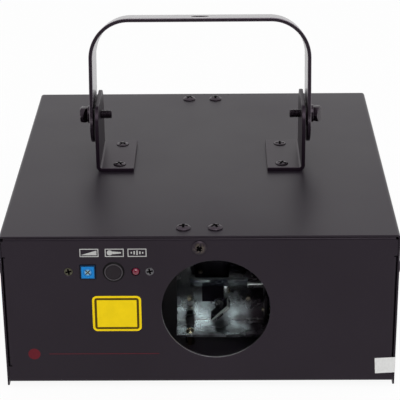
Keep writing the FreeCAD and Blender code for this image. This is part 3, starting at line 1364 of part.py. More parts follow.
def dmx_out_socket():
    """The shell of the signal output, open for the plug's sleeve."""
    start = REAR + DMX_FLANGE - DMX_CAVITY_DEPTH
    return dmx_shell(DMX_OUT_X).cut(rod(DMX_OUT_X, start, DMX_Z, Y, DMX_RING_OUTER, DMX_CAVITY_DEPTH))


def dmx_out_core():
    """The core of the signal output with its three contact holes."""
    start = REAR + DMX_FLANGE - DMX_CAVITY_DEPTH
    core = rod(DMX_OUT_X, start, DMX_Z, Y, DMX_CORE_RADIUS, DMX_CAVITY_DEPTH)
    end = start + DMX_CAVITY_DEPTH - DMX_PIN_LENGTH
    return core.cut([rod(x, end, z, Y, DMX_PIN_RADIUS + SCREW_FIT, DMX_PIN_LENGTH)
                     for x, z in dmx_pin_places(DMX_OUT_X)])


def address_switches():
    """Three switch bodies on the main board, each with a round seat for its dial."""
    half = DIAL_BODY / 2
    face = REAR_IN
    bodies = []
    for x in dial_places():
        body = block(x - half, x + half, face - DIAL_BODY, face, BOARD_TOP, BOARD_TOP + DIAL_BODY)
        bodies.append(body.cut(rod(x, face - DIAL_SEAT, DIAL_Z, Y, DIAL_RADIUS + TURN_FIT, DIAL_SEAT)))
    return group(bodies)


def address_dial(x):
    """A screwdriver-set dial that shows through the rear panel."""
    start = REAR_IN - DIAL_SEAT
    end = REAR + DIAL_PROUD
    dial = rod(x, start, DIAL_Z, Y, DIAL_RADIUS, end - start)
    half = DIAL_SLOT / 2
    return dial.cut(block(x - DIAL_RADIUS, x + DIAL_RADIUS, end - DIAL_SLOT, end, DIAL_Z - half, DIAL_Z + half))


def fan_frame():
    """A square fan frame with a round duct, a hub on four struts and a screw hole in each corner."""
    half = FAN_SIDE / 2
    front = REAR_IN - FAN_DEPTH
    frame = block(FAN_X - half, FAN_X + half, front, REAR_IN, FAN_Z - half, FAN_Z + half)
    frame = frame.cut(rod(FAN_X, front, FAN_Z, Y, FAN_BORE, FAN_DEPTH))
    hub = rod(FAN_X, front, FAN_Z, Y, FAN_HUB_RADIUS, FAN_STRUT_DEPTH)
    reach = FAN_BORE + SCREW_FIT
    strut = FAN_STRUT / 2
    deep = front + FAN_STRUT_DEPTH
    struts = [block(FAN_X - reach, FAN_X + reach, front, deep, FAN_Z - strut, FAN_Z + strut),
              block(FAN_X - strut, FAN_X + strut, front, deep, FAN_Z - reach, FAN_Z + reach)]
    holes = [rod(x, front, z, Y, M4_RADIUS + SCREW_FIT, FAN_DEPTH) for x, z in fan_screw_places()]
    holes.append(rod(FAN_X, front, FAN_Z, Y, FAN_SHAFT_RADIUS + SHAFT_FIT, FAN_STRUT_DEPTH))
    return frame.fuse([hub] + struts).cut(holes)


def fan_rotor():
    """The fan's hub, shaft and pitched blades."""
    front = REAR_IN - FAN_DEPTH
    hub_front = front + FAN_STRUT_DEPTH + FAN_RUN_GAP
    hub = rod(FAN_X, hub_front, FAN_Z, Y, FAN_HUB_RADIUS, FAN_HUB_LENGTH)
    shaft = rod(FAN_X, front, FAN_Z, Y, FAN_SHAFT_RADIUS, FAN_STRUT_DEPTH + FAN_RUN_GAP)
    middle = hub_front + FAN_HUB_LENGTH / 2
    chord = FAN_BLADE_CHORD / 2
    sheet = FAN_BLADE_SHEET / 2
    centre = at(FAN_X, middle, FAN_Z)
    blade = block(FAN_X - sheet, FAN_X + sheet, middle - chord, middle + chord, FAN_Z + FAN_HUB_RADIUS / 2,
                  FAN_Z + FAN_BORE)
    blade = turned(blade, centre, Z, FAN_BLADE_PITCH)
    blades = [turned(blade, centre, Y, i * 360 / FAN_BLADES) for i in range(FAN_BLADES)]
    sweep = rod(FAN_X, hub_front, FAN_Z, Y, FAN_BORE - FAN_RUN_GAP, FAN_HUB_LENGTH)
    return sweep.common(hub.fuse(blades)).fuse(shaft)


def fan_guard():
    """Wire rings on two crossed wires, with an eye at each fan screw."""
    wire_y = REAR + GUARD_WIRE
    ring_y = wire_y + 2 * GUARD_WIRE - GUARD_WELD
    eye = M4_RADIUS + SCREW_FIT + GUARD_WIRE
    half = FAN_HOLE_SPACING / math.sqrt(2)
    arm = half - eye
    pieces = []
    for side in (-1, 1):
        direction = at(1, 0, side).normalize()
        start = at(FAN_X, wire_y, FAN_Z) - direction * arm
        pieces.append(rod(start.x, start.y, start.z, direction, GUARD_WIRE, 2 * arm))
    for radius in GUARD_RINGS:
        pieces.append(Part.makeTorus(radius, GUARD_WIRE, at(FAN_X, ring_y, FAN_Z), Y))
    for x, z in fan_screw_places():
        pieces.append(Part.makeTorus(eye, GUARD_WIRE, at(x, wire_y, z), Y))
    return pieces[0].fuse(pieces[1:])


def safety_lug():
    """A folded steel lug with a hole for a safety cable, its plate against the rear panel."""
    left = DIAL_X - LUG_WIDTH / 2
    low = LUG_TOP - LUG_HEIGHT
    path = [at(left, REAR, LUG_TOP), at(left, REAR, low), at(left, REAR + LUG_REACH, low)]
    lug = folded(path, LUG_SHEET, LUG_BEND, X * LUG_WIDTH)
    cuts = [rod(DIAL_X, REAR + LUG_HOLE_SETBACK, low, Z, LUG_HOLE_RADIUS, LUG_SHEET)]
    cuts += [rod(x, REAR, z, Y, M3_RADIUS + SCREW_FIT, LUG_SHEET) for x, z in lug_screw_places()]
    return lug.cut(cuts)


def rear_screws():
    """All pan-head screws in the rear panel: inlet, sockets, lug and fan."""
    small = m3_pan_screw(REAR_SCREW_LENGTH)
    large = m4_pan_screw(FAN_SCREW_LENGTH)
    pieces = [seat(small, x, REAR + INLET_FLANGE, z, Y) for x, z in inlet_screw_places()]
    pieces += [seat(small, x, REAR + DMX_FLANGE, z, Y) for x, z in dmx_screw_places()]
    pieces += [seat(small, x, REAR + LUG_SHEET, z, Y) for x, z in lug_screw_places()]
    pieces += [seat(large, x, REAR + 2 * GUARD_WIRE, z, Y) for x, z in fan_screw_places()]
    return group(pieces)


def assembly():
    """Every node's name and shape."""
    bracket = right_bracket()
    bolt = right_yoke_bolt()
    nodes = {
        "base_tray": base_tray(), "top_cover": top_cover(), "cover_screws": cover_screws(),
        "front_panel_screw": front_panel_screw(), "left_bracket": mirrored(bracket), "right_bracket": bracket,
        "bracket_screws": bracket_screws(), "bracket_nuts": bracket_nuts(), "yoke": yoke(),
        "friction_washers": friction_washers(), "left_yoke_bolt": mirrored(bolt), "right_yoke_bolt": bolt,
        "feet": feet(), "foot_screws": foot_screws(), "window_gasket": window_gasket(),
        "window_glass": window_glass(), "window_clip": window_clip(), "control_board": control_board(),
        "control_board_screws": control_board_screws(), "spacers": spacers(), "board_screws": board_screws(),
        "sensitivity_pot": sensitivity_pot(), "sensitivity_rotor": sensitivity_rotor(),
        "microphone": microphone(), "microphone_boot": microphone_boot(), "sound_led": sound_led(),
        "optics_bench": optics_bench(), "optics_screws": optics_screws(), "x_scan_motor": x_scan_motor(),
        "y_scan_motor": y_scan_motor(), "x_mirror": x_mirror(), "x_mirror_holder": x_mirror_holder(),
        "y_mirror": y_mirror(), "y_mirror_holder": y_mirror_holder(), "laser_mount": laser_mount(),
        "red_laser_module": red_laser_module(), "green_laser_module": green_laser_module(),
        "combiner_mirror": combiner_mirror(), "main_board": main_board(), "power_supply": power_supply(),
        "mains_wiring": mains_wiring(), "signal_wiring": signal_wiring(), "mains_inlet": mains_inlet(),
        "rear_contacts": rear_contacts(), "fuse_drawer": fuse_drawer(), "fuse": fuse(),
        "power_switch": power_switch(), "power_rocker": power_rocker(), "dmx_in_socket": dmx_in_socket(),
        "dmx_out_socket": dmx_out_socket(), "dmx_out_core": dmx_out_core(),
        "address_switches": address_switches(), "fan_frame": fan_frame(), "fan_rotor": fan_rotor(),
        "fan_guard": fan_guard(), "safety_lug": safety_lug(), "rear_screws": rear_screws(),
    }
    names = ("address_dial_units", "address_dial_tens", "address_dial_hundreds")
    for name, x in zip(names, dial_places()):
        nodes[name] = address_dial(x)
    return nodes


def main():
    os.makedirs("parts", exist_ok=True)
    for name, shape in assembly().items():
        shape.exportStep(os.path.join("parts", name + ".step"))
        print(name, len(shape.Solids), "solids", round(shape.Volume, 1), "mm3", shape.isValid())


main()
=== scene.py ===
"""Looks of a laser show projector: finishes, printed marks, labels, threaded bolts and the stage."""

import json
import math

import bpy
from bpy.props import FloatProperty, FloatVectorProperty, PointerProperty
from mathutils import Matrix, Vector


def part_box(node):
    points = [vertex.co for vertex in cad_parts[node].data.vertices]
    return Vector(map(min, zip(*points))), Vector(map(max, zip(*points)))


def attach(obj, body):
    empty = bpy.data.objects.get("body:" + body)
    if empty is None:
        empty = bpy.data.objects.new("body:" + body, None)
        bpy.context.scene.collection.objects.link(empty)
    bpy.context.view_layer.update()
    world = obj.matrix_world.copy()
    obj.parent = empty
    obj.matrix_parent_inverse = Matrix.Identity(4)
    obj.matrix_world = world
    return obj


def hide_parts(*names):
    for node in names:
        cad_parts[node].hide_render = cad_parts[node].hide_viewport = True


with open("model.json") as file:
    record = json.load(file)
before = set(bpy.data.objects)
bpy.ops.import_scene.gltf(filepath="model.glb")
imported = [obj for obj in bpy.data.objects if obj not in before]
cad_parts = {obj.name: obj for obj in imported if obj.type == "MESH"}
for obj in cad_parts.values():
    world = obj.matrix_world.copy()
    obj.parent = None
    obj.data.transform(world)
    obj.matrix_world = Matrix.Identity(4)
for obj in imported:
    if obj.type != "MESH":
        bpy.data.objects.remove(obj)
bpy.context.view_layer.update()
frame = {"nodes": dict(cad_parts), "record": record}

bl_info = {
    "name": "Laser Projector Looks",
    "version": (1, 0, 0),
    "blender": (4, 5, 0),
    "location": "View3D > Sidebar > Projector",
    "description": "Dresses a laser show projector in its finishes, marks and labels",
    "category": "Object",
}

MM = 0.001
MERGE = 0.001 * MM
SLACK = 0.01 * MM
ORIGIN = (0.0, 0.0, 0.0)
UP = (0.0, 0.0, 1.0)
LEFT = (-1.0, 0.0, 0.0)
RIGHT = (1.0, 0.0, 0.0)
TO_VIEWER = (0.0, -1.0, 0.0)
WHITE = (1.0, 1.0, 1.0, 1.0)

TRAY_LOW, TRAY_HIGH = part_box("base_tray")
COVER_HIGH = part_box("top_cover")[1]
FRONT = TRAY_LOW.y
REAR = TRAY_HIGH.y
TOP = COVER_HIGH.z


def centre(node):
    """Middle of a node's box."""
    low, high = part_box(node)
    return (low + high) / 2


MICROPHONE = centre("microphone_boot")
PIVOT = centre("right_yoke_bolt")
WINDOW_RADIUS = 34.5 * MM
WINDOW_FIT = 0.05 * MM
CUT_EDGE_DEPTH = 1.4 * MM
BENCH_SHEET = 2.0 * MM
BENCH_FLOOR_REACH = 12.0 * MM
MIRROR_SHEET = 1.6 * MM
X_MIRROR_NORMAL = Vector((-1.0, 0.0, 1.0)).normalized()
Y_MIRROR_NORMAL = Vector((0.0, -1.0, -1.0)).normalized()


# Kinds of setting

def colour(name, description, *rgb):
    """A colour setting."""
    return FloatVectorProperty(name=name, description=description, default=rgb, size=3, min=0.0, max=1.0,
                               subtype="COLOR")


def length(name, description, default):
    """A length setting, in metres."""
    return FloatProperty(name=name, description=description, default=default, precision=6, unit="LENGTH")


def share(name, description, default):
    """A setting from nought to one."""
    return FloatProperty(name=name, description=description, default=default, min=0.0, max=1.0,
                         subtype="FACTOR")


def angle(name, description, degrees):
    """An angle setting, given in degrees."""
    return FloatProperty(name=name, description=description, default=math.radians(degrees), subtype="ANGLE")


def place(name, description, *xyz):
    """A setting for a place in the frame."""
    return FloatVectorProperty(name=name, description=description, default=xyz, size=3, subtype="TRANSLATION")


class PaintSettings(bpy.types.PropertyGroup):
    """Powder coat of the case, the brackets and the yoke."""
    case: colour("Case", "Colour of the case's powder coat", 0.0112, 0.0088, 0.0125)
    bracket: colour("Brackets", "Colour of the brackets and the yoke", 0.0100, 0.0056, 0.0104)
    tint: colour("Tint", "Tint of the coat's reflection", 0.97, 0.80, 0.955)
    # Bare edge: shown only at the window's lower left, as a painted highlight.
    bare: colour("Bare edge", "Cut edge of the sheet round the window", 0.42, 0.42, 0.43)
    dust: colour("Dust", "Colour of the thin dust on upper faces", 0.15, 0.13, 0.145)
    roughness: share("Roughness", "Roughness of the satin coat", 0.36)
    specular: share("Specular", "Strength of the case's reflection", 0.235)
    bracket_specular: share("Bracket specular", "Strength of the brackets' reflection", 0.275)
    yoke_specular: share("Yoke specular", "Strength of the yoke's reflection", 1.0)
    yoke_roughness: share("Yoke roughness", "Roughness of the yoke's smoother coat", 0.27)
    yoke_lacquer: share("Yoke lacquer", "Weight of the clear lacquer over the yoke", 0.5)
    grain: length("Grain", "Width of one bump of the coat", 0.9 * MM)
    grain_depth: length("Grain depth", "Height of the coat's bumps", 0.012 * MM)
    yoke_grain_depth: length("Yoke grain depth", "Height of the bumps of the yoke's coat", 0.004 * MM)
    edge: length("Edge", "Radius of the coat over a sheet's edge", 0.35 * MM)


class MetalSettings(bpy.types.PropertyGroup):
    """Bare, plated and blackened metals."""
    oxide: colour("Black oxide", "Blackened screws and bolts", 0.010, 0.0065, 0.010)
    dull_brass: colour("Dull brass", "Worn middle of the front panel's screw", 0.105, 0.088, 0.070)
    zinc: colour("Zinc", "Plated inner screws and nuts", 0.52, 0.53, 0.54)
    # Nickel and yellow zinc: darker than the plating, partly painted shade of the holes the control screws
    # sit in.
    nickel: colour("Nickel", "Right screw of the sound controls", 0.125, 0.12, 0.13)
    yellow_zinc: colour("Yellow zinc", "Left screw of the sound controls", 0.085, 0.080, 0.058)
    yellow: colour("Yellow plating", "Screws of the scanner bench", 0.95, 0.80, 0.58)
    brass: colour("Brass", "Dull brass spacers", 0.10, 0.075, 0.04)
    gold: colour("Contacts", "Contact pins and blades", 0.66, 0.55, 0.30)
    aluminium: colour("Aluminium", "Scanner bench and laser mount", 0.82, 0.88, 0.90)
    # Painted shade: the dark colour of the bench away from the window's light.
    dull: colour("Dull aluminium", "Dull patches of the scanner bench", 0.11, 0.085, 0.10)
    barrel: colour("Laser barrel", "Anodised laser barrels", 0.055, 0.055, 0.06)
    steel: colour("Steel", "Scanner shafts and mirror holders", 0.72, 0.73, 0.75)
    chrome: colour("Chrome", "Wire guard of the fan", 0.62, 0.63, 0.64)
    cap: colour("Fuse caps", "Plated caps of the fuse", 0.55, 0.54, 0.5)
    coating: colour("Coating", "Dark coating of the scanner mirrors", 0.012, 0.009, 0.014)
    long_coating: colour("Long coating", "Bluish coating of the long scanner mirror", 0.040, 0.046, 0.066)
    ground: colour("Ground edge", "Ground edges of the first scanner mirror", 0.42, 0.46, 0.44)
    long_ground: colour("Long ground edge", "Ground edges of the long scanner mirror", 0.09, 0.10, 0.105)


class PlasticSettings(bpy.types.PropertyGroup):
    """Moulded parts, rubber, glass and circuit boards."""
    black: colour("Black plastic", "Sockets, switch and fan", 0.018, 0.018, 0.019)
    rubber: colour("Rubber", "Feet, boot and gasket", 0.008, 0.007, 0.008)
    felt: colour("Felt", "Face of the microphone", 0.0115, 0.0075, 0.011)
    # Lip: black rubber made darker still as painted shade round the boot. Crest: a grey ring painted as the
    # highlight along the lip's crest.
    lip: colour("Lip", "Outside of the microphone's rubber lip", 0.0015, 0.001, 0.0015)
    crest: colour("Crest", "Rubbed crest of the microphone's rubber lip", 0.068, 0.061, 0.068)
    # Recess: near-black painted shade for the insides of cross slots and the gap round the bracket screws.
    recess: colour("Recess", "Inside of the screws' cross slots", 0.0012, 0.001, 0.0012)
    washer: colour("Washer", "Friction washers of the yoke", 0.020, 0.020, 0.020)
    motor: colour("Motor", "Black cans of the scanner motors", 0.011, 0.008, 0.015)
    trimmer: colour("Trimmer", "Blue body of the trimmer", 0.003, 0.20, 0.56)
    rotor: colour("Rotor", "Pale middle of the trimmer's rotor", 0.20, 0.42, 0.55)
    rotor_slot: colour("Rotor slot", "Brass at the bottom of the rotor's slot", 0.11, 0.075, 0.035)
    lamp: colour("Lamp", "Red indicator lamp", 0.15, 0.004, 0.026)
    dial: colour("Dial", "White address dials", 0.72, 0.71, 0.68)
    wire: colour("Wire", "Insulation of the wires", 0.05, 0.05, 0.055)
    board: colour("Board", "Solder mask of the boards", 0.012, 0.10, 0.035)
    copper: colour("Traces", "Lighter tracks under the solder mask", 0.03, 0.20, 0.075)
    glass: colour("Glass", "Clear window", 0.94, 0.97, 0.96)
    glass_tint: colour("Glass tint", "Tint of the window's weak reflection", 0.10, 0.07, 0.13)
    glass_pass: colour("Glass pass", "Share of the lamps' light that the window lets in", 0.55, 0.55, 0.58)


class PrintSettings(bpy.types.PropertyGroup):
    """Printed marks and labels."""
    white: colour("White ink", "Printed signs over the sound controls", 0.50, 0.50, 0.49)
    red: colour("Red ink", "Printed rule and dot", 0.13, 0.012, 0.020)
    yellow: colour("Yellow label", "Face of the blank label", 0.95, 0.68, 0.004)
    border: colour("Label ink", "Printed line round the blank label", 0.085, 0.052, 0.002)
    paper: colour("Paper", "Blank paper tab at the right corner", 0.80, 0.80, 0.79)
    ink: length("Ink", "Thickness of printed ink", 0.04 * MM)
    line: length("Line", "Width of the signs' frames", 0.55 * MM)
    sign_width: length("Sign width", "Width of one sign", 11.8 * MM)
    sign_height: length("Sign height", "Height of one sign", 5.6 * MM)
    sign_pitch: length("Sign pitch", "Distance between signs", 15.0 * MM)
    sign_shift: length("Sign shift", "How far the middle sign sits to the right", 0.8 * MM)
    sign_rise: length("Sign rise", "Signs above the controls' middle", 13.2 * MM)
    rule_rise: length("Rule rise", "Red rule above the tray's underside", 20.9 * MM)
    rule_left: length("Rule start", "Left end of the red rule", -97.0 * MM)
    rule_right: length("Rule end", "Right end of the red rule", -26.3 * MM)
    rule_line: length("Rule line", "Width of the red rule", 0.36 * MM)
    dot_x: length("Dot place", "Middle of the red dot", -106.6 * MM)
    dot: length("Dot radius", "Radius of the red dot", 3.9 * MM)
    label_x: length("Label place", "Middle of the blank label", -52.6 * MM)
    label_rise: length("Label rise", "Middle of the blank label above the tray's underside", 50.0 * MM)
    label_width: length("Label width", "Width of the blank label", 31.0 * MM)
    label_height: length("Label height", "Height of the blank label", 25.0 * MM)
    label_corner: length("Label corner", "Corner radius of the blank label", 3.0 * MM)
    label_film: length("Label film", "Thickness of the blank label", 0.15 * MM)
    label_margin: length("Label margin", "Yellow edge outside the label's line", 1.4 * MM)
    label_line: length("Label line", "Width of the label's line", 1.5 * MM)
    tab_left: length("Tab place", "Left end of the paper tab", 112.4 * MM)
    tab_rise: length("Tab rise", "Lower left corner of the tab above the tray's underside", 5.9 * MM)
    tab_height: length("Tab height", "Height of the paper tab", 11.1 * MM)
    tab_wrap: length("Tab wrap", "Length of the tab round the corner", 15.0 * MM)
    tab_paper: length("Tab paper", "Thickness of the paper tab", 0.14 * MM)
    tab_slope: angle("Tab slope", "How far the tab climbs to the right", 3.2)


class ControlSettings(bpy.types.PropertyGroup):
    """Sound controls on the front panel."""
    screw_sunk: length("Screw sunk", "How deep the control screws sit in their holes", 0.2 * MM)
    screw_shank: length("Screw shank", "Radius of the control screws", 1.5 * MM)
    screw_slot: length("Screw slot", "Depth of the control screws' cross slots", 0.8 * MM)
    slot_width: length("Slot width", "Width of the slots in the trimmer's rotor", 0.8 * MM)
    chamfer: length("Chamfer", "Chamfer round the trimmer's face", 0.55 * MM)
    seat_fit: length("Seat fit", "Gap round the trimmer's rotor", 0.1 * MM)
    rotor_edge: length("Rotor edge", "Chamfer of the trimmer's rotor", 0.2 * MM)
    boot_fit: length("Boot fit", "Gap between the microphone and its boot", 0.1 * MM)


class ScrewSettings(bpy.types.PropertyGroup):
    """Cross-head screws."""
    shank: length("Shank", "Radius of the cover and bracket screws", 1.9 * MM)
    proud: length("Proud", "Height of a truss head", 2.14 * MM)
    span: share("Slot span", "Span of a cross slot as a share of the head", 0.6)
    width: share("Slot width", "Width of a cross slot as a share of the head", 0.17)
    depth: length("Slot depth", "Depth of a cross slot", 1.2 * MM)
    lift: length("Lift", "How far the bracket screws' crowns stand over their seats", 1.6 * MM)
    dome: length("Dome", "Height of the bracket screws' domes", 1.15 * MM)
    oval: length("Oval radius", "Head radius of the bracket screws", 4.4 * MM)
    # Gap: the ring beyond it is given the near-black finish, as painted shade.
    gap: share("Gap", "Where the dark gap round a bracket screw starts, as a share of its radius", 0.92)
    oval_span: share("Oval slot span", "Span of the bracket screws' slot as a share of the head", 0.68)
    oval_width: share("Oval slot width", "Width of the bracket screws' slot as a share of the head", 0.17)
    panel_span: share("Panel slot span", "Span of the panel screw's slot as a share of the head", 0.42)


class ScannerSettings(bpy.types.PropertyGroup):
    """Fittings round the first scanner, seen through the window, from its axis and the bench's wall."""
    block_depth: length("Block depth", "How far the black motor block stands out of the wall", 7.6 * MM)
    block_left: length("Block left", "Left side of the block's foot from the axis", -11.3 * MM)
    block_right: length("Block right", "Right side of the block's foot from the axis", 3.2 * MM)
    block_low: length("Block low", "Underside of the block from the axis", 0.8 * MM)
    block_step: length("Block step", "Where the block widens, from the axis", 13.2 * MM)
    block_high: length("Block high", "Top of the block from the axis", 57.0 * MM)
    step_left: length("Step left", "How much the block widens on its left", 4.4 * MM)
    step_right: length("Step right", "How much the block widens on its right", 3.4 * MM)
    edge: length("Edge", "Bevel of the fittings' edges", 0.5 * MM)
    bore: length("Bore", "Radius of the block's bore for the mirror holder", 3.5 * MM)
    bar: length("Bar", "Width of the pale bar beside the block", 2.8 * MM)
    bar_gap: length("Bar gap", "Gap between the block and the pale bar", 0.2 * MM)
    bar_low: length("Bar low", "Foot of the pale bar from the axis", -1.5 * MM)
    bar_high: length("Bar high", "Top of the pale bar from the axis", 16.5 * MM)
    screw: length("Screw", "Head radius of the fittings' screws", 1.9 * MM)
    bar_screw: length("Bar screw", "Height of the bar's screw from the axis", 7.0 * MM)
    block_screw_x: length("Block screw place", "Block's screw to the right of the axis", -12.2 * MM)
    block_screw_z: length("Block screw rise", "Height of the block's screw from the axis", 23.5 * MM)
    backing: length("Backing", "Thickness of the first mirror's backing", 1.7 * MM)
    backing_edge: length("Backing edge", "Bevel of the backing's edges", 0.15 * MM)
    cap: length("Cap", "Radius of the rubber cap over a bench screw", 2.9 * MM)
    cap_height: length("Cap height", "Height of the rubber cap", 5.6 * MM)


class RearSettings(bpy.types.PropertyGroup):
    """Printed numbers and plain plate on the rear panel."""
    ring: length("Ring", "Radius of the ring of numbers round a dial", 5.4 * MM)
    number: length("Number", "Height of the numbers round a dial", 1.9 * MM)
    place_number: length("Place number", "Height of the number under a dial", 2.6 * MM)
    place_drop: length("Place drop", "Number under a dial from its middle", 9.6 * MM)
    mark: length("Mark", "Height of the marks on the rocker", 3.4 * MM)
    mark_rise: length("Mark rise", "Marks from the middle of the rocker", 4.6 * MM)
    plate_x: length("Plate place", "Middle of the plain plate", -52.6 * MM)
    plate_z: length("Plate rise", "Height of the plain plate's middle", 61.0 * MM)
    plate_width: length("Plate width", "Width of the plain plate", 22.0 * MM)
    plate_height: length("Plate height", "Height of the plain plate", 31.0 * MM)
    plate_corner: length("Plate corner", "Corner radius of the plain plate", 1.5 * MM)
    plate_sheet: length("Plate sheet", "Thickness of the plain plate", 0.2 * MM)


class BoltSettings(bpy.types.PropertyGroup):
    """Hex bolts of the yoke."""
    thread: length("Thread", "Radius over the thread", 3.0 * MM)
    pitch: length("Pitch", "Distance from one thread ridge to the next", 1.0 * MM)
    depth: length("Depth", "Depth of the thread", 0.55 * MM)
    tip: length("Tip", "Chamfer at the bolt's tip", 0.6 * MM)
    flats: length("Flats", "Size across the head's flats", 10.0 * MM)
    head: length("Head", "Height of the head", 5.2 * MM)
    flange: length("Flange", "Radius of the washer face", 6.0 * MM)
    flange_height: length("Flange height", "Height of the washer face", 2.5 * MM)
    edge: length("Edge", "Bevel of the head's edges", 0.25 * MM)


class StageSettings(bpy.types.PropertyGroup):
    """Camera, lamps and floor."""
    camera: place("Camera", "Place of the camera", 0.01298, -1.00988, 0.5160)
    pitch: angle("Pitch", "How far the camera looks down", 23.69)
    yaw: angle("Yaw", "How far the camera turns to the right", -0.8)
    roll: angle("Roll", "How far the camera leans", -0.6)
    lens: FloatProperty(name="Lens", description="Focal length in millimetres", default=139.66, unit="CAMERA")
    key: place("Key lamp", "Place of the large soft lamp", 0.25, -0.95, 1.35)
    key_size: length("Key size", "Width of the large soft lamp", 1.1)
    key_power: FloatProperty(name="Key power", description="Power of the large soft lamp", default=13.0,
                             unit="POWER")
    fill: share("Fill", "Strength of the even light from all round", 0.7)
    floor: colour("Floor", "Colour of the floor", 0.92, 0.92, 0.92)
    floor_glow: share("Floor glow", "How far the floor is plain white to the camera", 0.93)
    floor_size: length("Floor size", "Width of the floor", 9.0)
    flag: place("Flag", "Middle of the dark cloth behind the camera", 0.0, -2.0, 0.75)
    flag_size: length("Flag size", "Width of the dark cloth behind the camera", 3.2)
    cloth: colour("Cloth", "Colour of the dark cloth behind the camera", 0.01, 0.01, 0.01)


class ProjectorSettings(bpy.types.PropertyGroup):
    """Every setting of the projector."""
    paint: PointerProperty(type=PaintSettings)
    metal: PointerProperty(type=MetalSettings)
    plastic: PointerProperty(type=PlasticSettings)
    print: PointerProperty(type=PrintSettings)
    control: PointerProperty(type=ControlSettings)
    screw: PointerProperty(type=ScrewSettings)
    scanner: PointerProperty(type=ScannerSettings)
    rear: PointerProperty(type=RearSettings)
    bolt: PointerProperty(type=BoltSettings)
    stage: PointerProperty(type=StageSettings)


# Shader nodes

def join(tree, value, socket):
    """Links an input to a socket, or sets it to a plain value."""
    if isinstance(value, bpy.types.NodeSocket):
        tree.links.new(value, socket)
    else:
        socket.default_value = value


def fill(tree, node, **values):
    """A node whose named inputs are set or linked."""
    for name, value in values.items():
        join(tree, value, node.inputs[name.replace("_", " ")])
    return node


def add_node(tree, kind, **values):
    """A new node whose named inputs are set or linked."""
    return fill(tree, tree.nodes.new(kind), **values)


def maths(tree, operation, first, second=0.0):
    """The result of one Math node."""
    node = tree.nodes.new("ShaderNodeMath")
    node.operation = operation
    join(tree, first, node.inputs[0])
    join(tree, second, node.inputs[1])
    return node.outputs[0]


def times(tree, first, *others):
    """Values multiplied together."""
    for other in others:
        first = maths(tree, "MULTIPLY", first, other)
    return first


def away(tree, value, middle):
    """How far a value is from a middle, either way."""
    return maths(tree, "ABSOLUTE", maths(tree, "SUBTRACT", value, middle))


def dot_product(tree, first, second):
    """The dot product of two vectors."""
    node = tree.nodes.new("ShaderNodeVectorMath")
    node.operation = "DOT_PRODUCT"
    join(tree, first, node.inputs[0])
    join(tree, second, node.inputs[1])
    return node.outputs["Value"]


def spread(tree, value, low, high, start=0.0, end=1.0):
    """A value moved from one range to another and held inside it."""
    node = add_node(tree, "ShaderNodeMapRange", Value=value, From_Min=start, From_Max=end, To_Min=low,
                    To_Max=high)
    return node.outputs["Result"]


def blend(tree, factor, first, second):
    """Two colours mixed by a factor."""
    node = tree.nodes.new("ShaderNodeMix")
    node.data_type = "RGBA"
    for index, value in ((0, factor), (6, first), (7, second)):
        join(tree, value, node.inputs[index])
    return node.outputs[2]


def mixed(tree, factor, first, second):
    """Two shaders mixed by a factor."""
    node = tree.nodes.new("ShaderNodeMixShader")
    for socket, value in zip(node.inputs, (factor, first, second)):
        join(tree, value, socket)
    return node.outputs[0]


def noise(tree, vector, scale, detail=3.0):
    """The value of a noise pattern."""
    return add_node(tree, "ShaderNodeTexNoise", Vector=vector, Scale=scale, Detail=detail).outputs[0]


def object_places(tree):
    """Coordinates of the piece itself."""
    return tree.nodes.new("ShaderNodeTexCoord").outputs["Object"]


def parts_of(tree, vector):
    """The X, Y and Z of a vector."""
    return tuple(add_node(tree, "ShaderNodeSeparateXYZ", Vector=vector).outputs)


def axes(tree):
    """The X, Y and Z of the piece's own coordinates."""
    return parts_of(tree, object_places(tree))


def from_axis(tree, x, z, middle):
    """Distance of a place from an axis along Y."""
    across = maths(tree, "POWER", maths(tree, "SUBTRACT", x, middle.x), 2.0)
    rise = maths(tree, "POWER", maths(tree, "SUBTRACT", z, middle.z), 2.0)
    return maths(tree, "SQRT", maths(tree, "ADD", across, rise))


# Shader groups

def new_group(name, inputs, outputs):
    """An empty shader group with float inputs, what it is given, and its output node."""
    group = bpy.data.node_groups.new(name, "ShaderNodeTree")
    for label, value in inputs.items():
        socket = group.interface.new_socket(label, in_out="INPUT", socket_type="NodeSocketFloat")
        socket.default_value = value
    for label, kind in outputs.items():
        group.interface.new_socket(label, in_out="OUTPUT", socket_type="NodeSocket" + kind)
    return group, group.nodes.new("NodeGroupInput").outputs, group.nodes.new("NodeGroupOutput")


def grain_group():
    """Fine bumps of a sprayed or moulded skin, with slow changes of tone."""
    group, given, out = new_group("Skin Grain", {"Scale": 900.0, "Mottle Scale": 18.0},
                                  {"Height": "Float", "Mottle": "Float"})
    places = object_places(group)
    slow = noise(group, places, given["Mottle Scale"], 4.0)
    fill(group, out, Height=noise(group, places, given["Scale"], 2.0),
         Mottle=spread(group, slow, 0.0, 1.0, 0.3, 0.7))
    return group


def edge_group():
    """Normals rounded over sharp edges, and a mask of where those edges are."""
    group, given, out = new_group("Round Edge", {"Radius": 0.0004}, {"Normal": "Vector", "Edge": "Float"})
    bevel = add_node(group, "ShaderNodeBevel", Radius=given["Radius"])
    bevel.samples = 6
    rounded = bevel.outputs[0]
    flat = group.nodes.new("ShaderNodeNewGeometry").outputs["Normal"]
    fill(group, out, Normal=rounded,
         Edge=spread(group, dot_product(group, rounded, flat), 1.0, 0.0, 0.75, 0.97))
    return group


def dust_group():
    """Thin dust that lies on faces that look up."""
    group, given, out = new_group("Settled Dust", {"Amount": 0.1}, {"Mask": "Float"})
    normal = group.nodes.new("ShaderNodeNewGeometry").outputs["Normal"]
    facing = spread(group, parts_of(group, normal)[2], 0.0, 1.0, 0.5, 1.0)
    cloud = spread(group, noise(group, object_places(group), 30.0, 6.0), 0.2, 1.0, 0.35, 0.7)
    speck = spread(group, noise(group, object_places(group), 1500.0, 1.0), 0.0, 1.0, 0.62, 0.74)
    fill(group, out, Mask=times(group, facing, cloud, maths(group, "ADD", speck, 0.35), given["Amount"]))
    return group


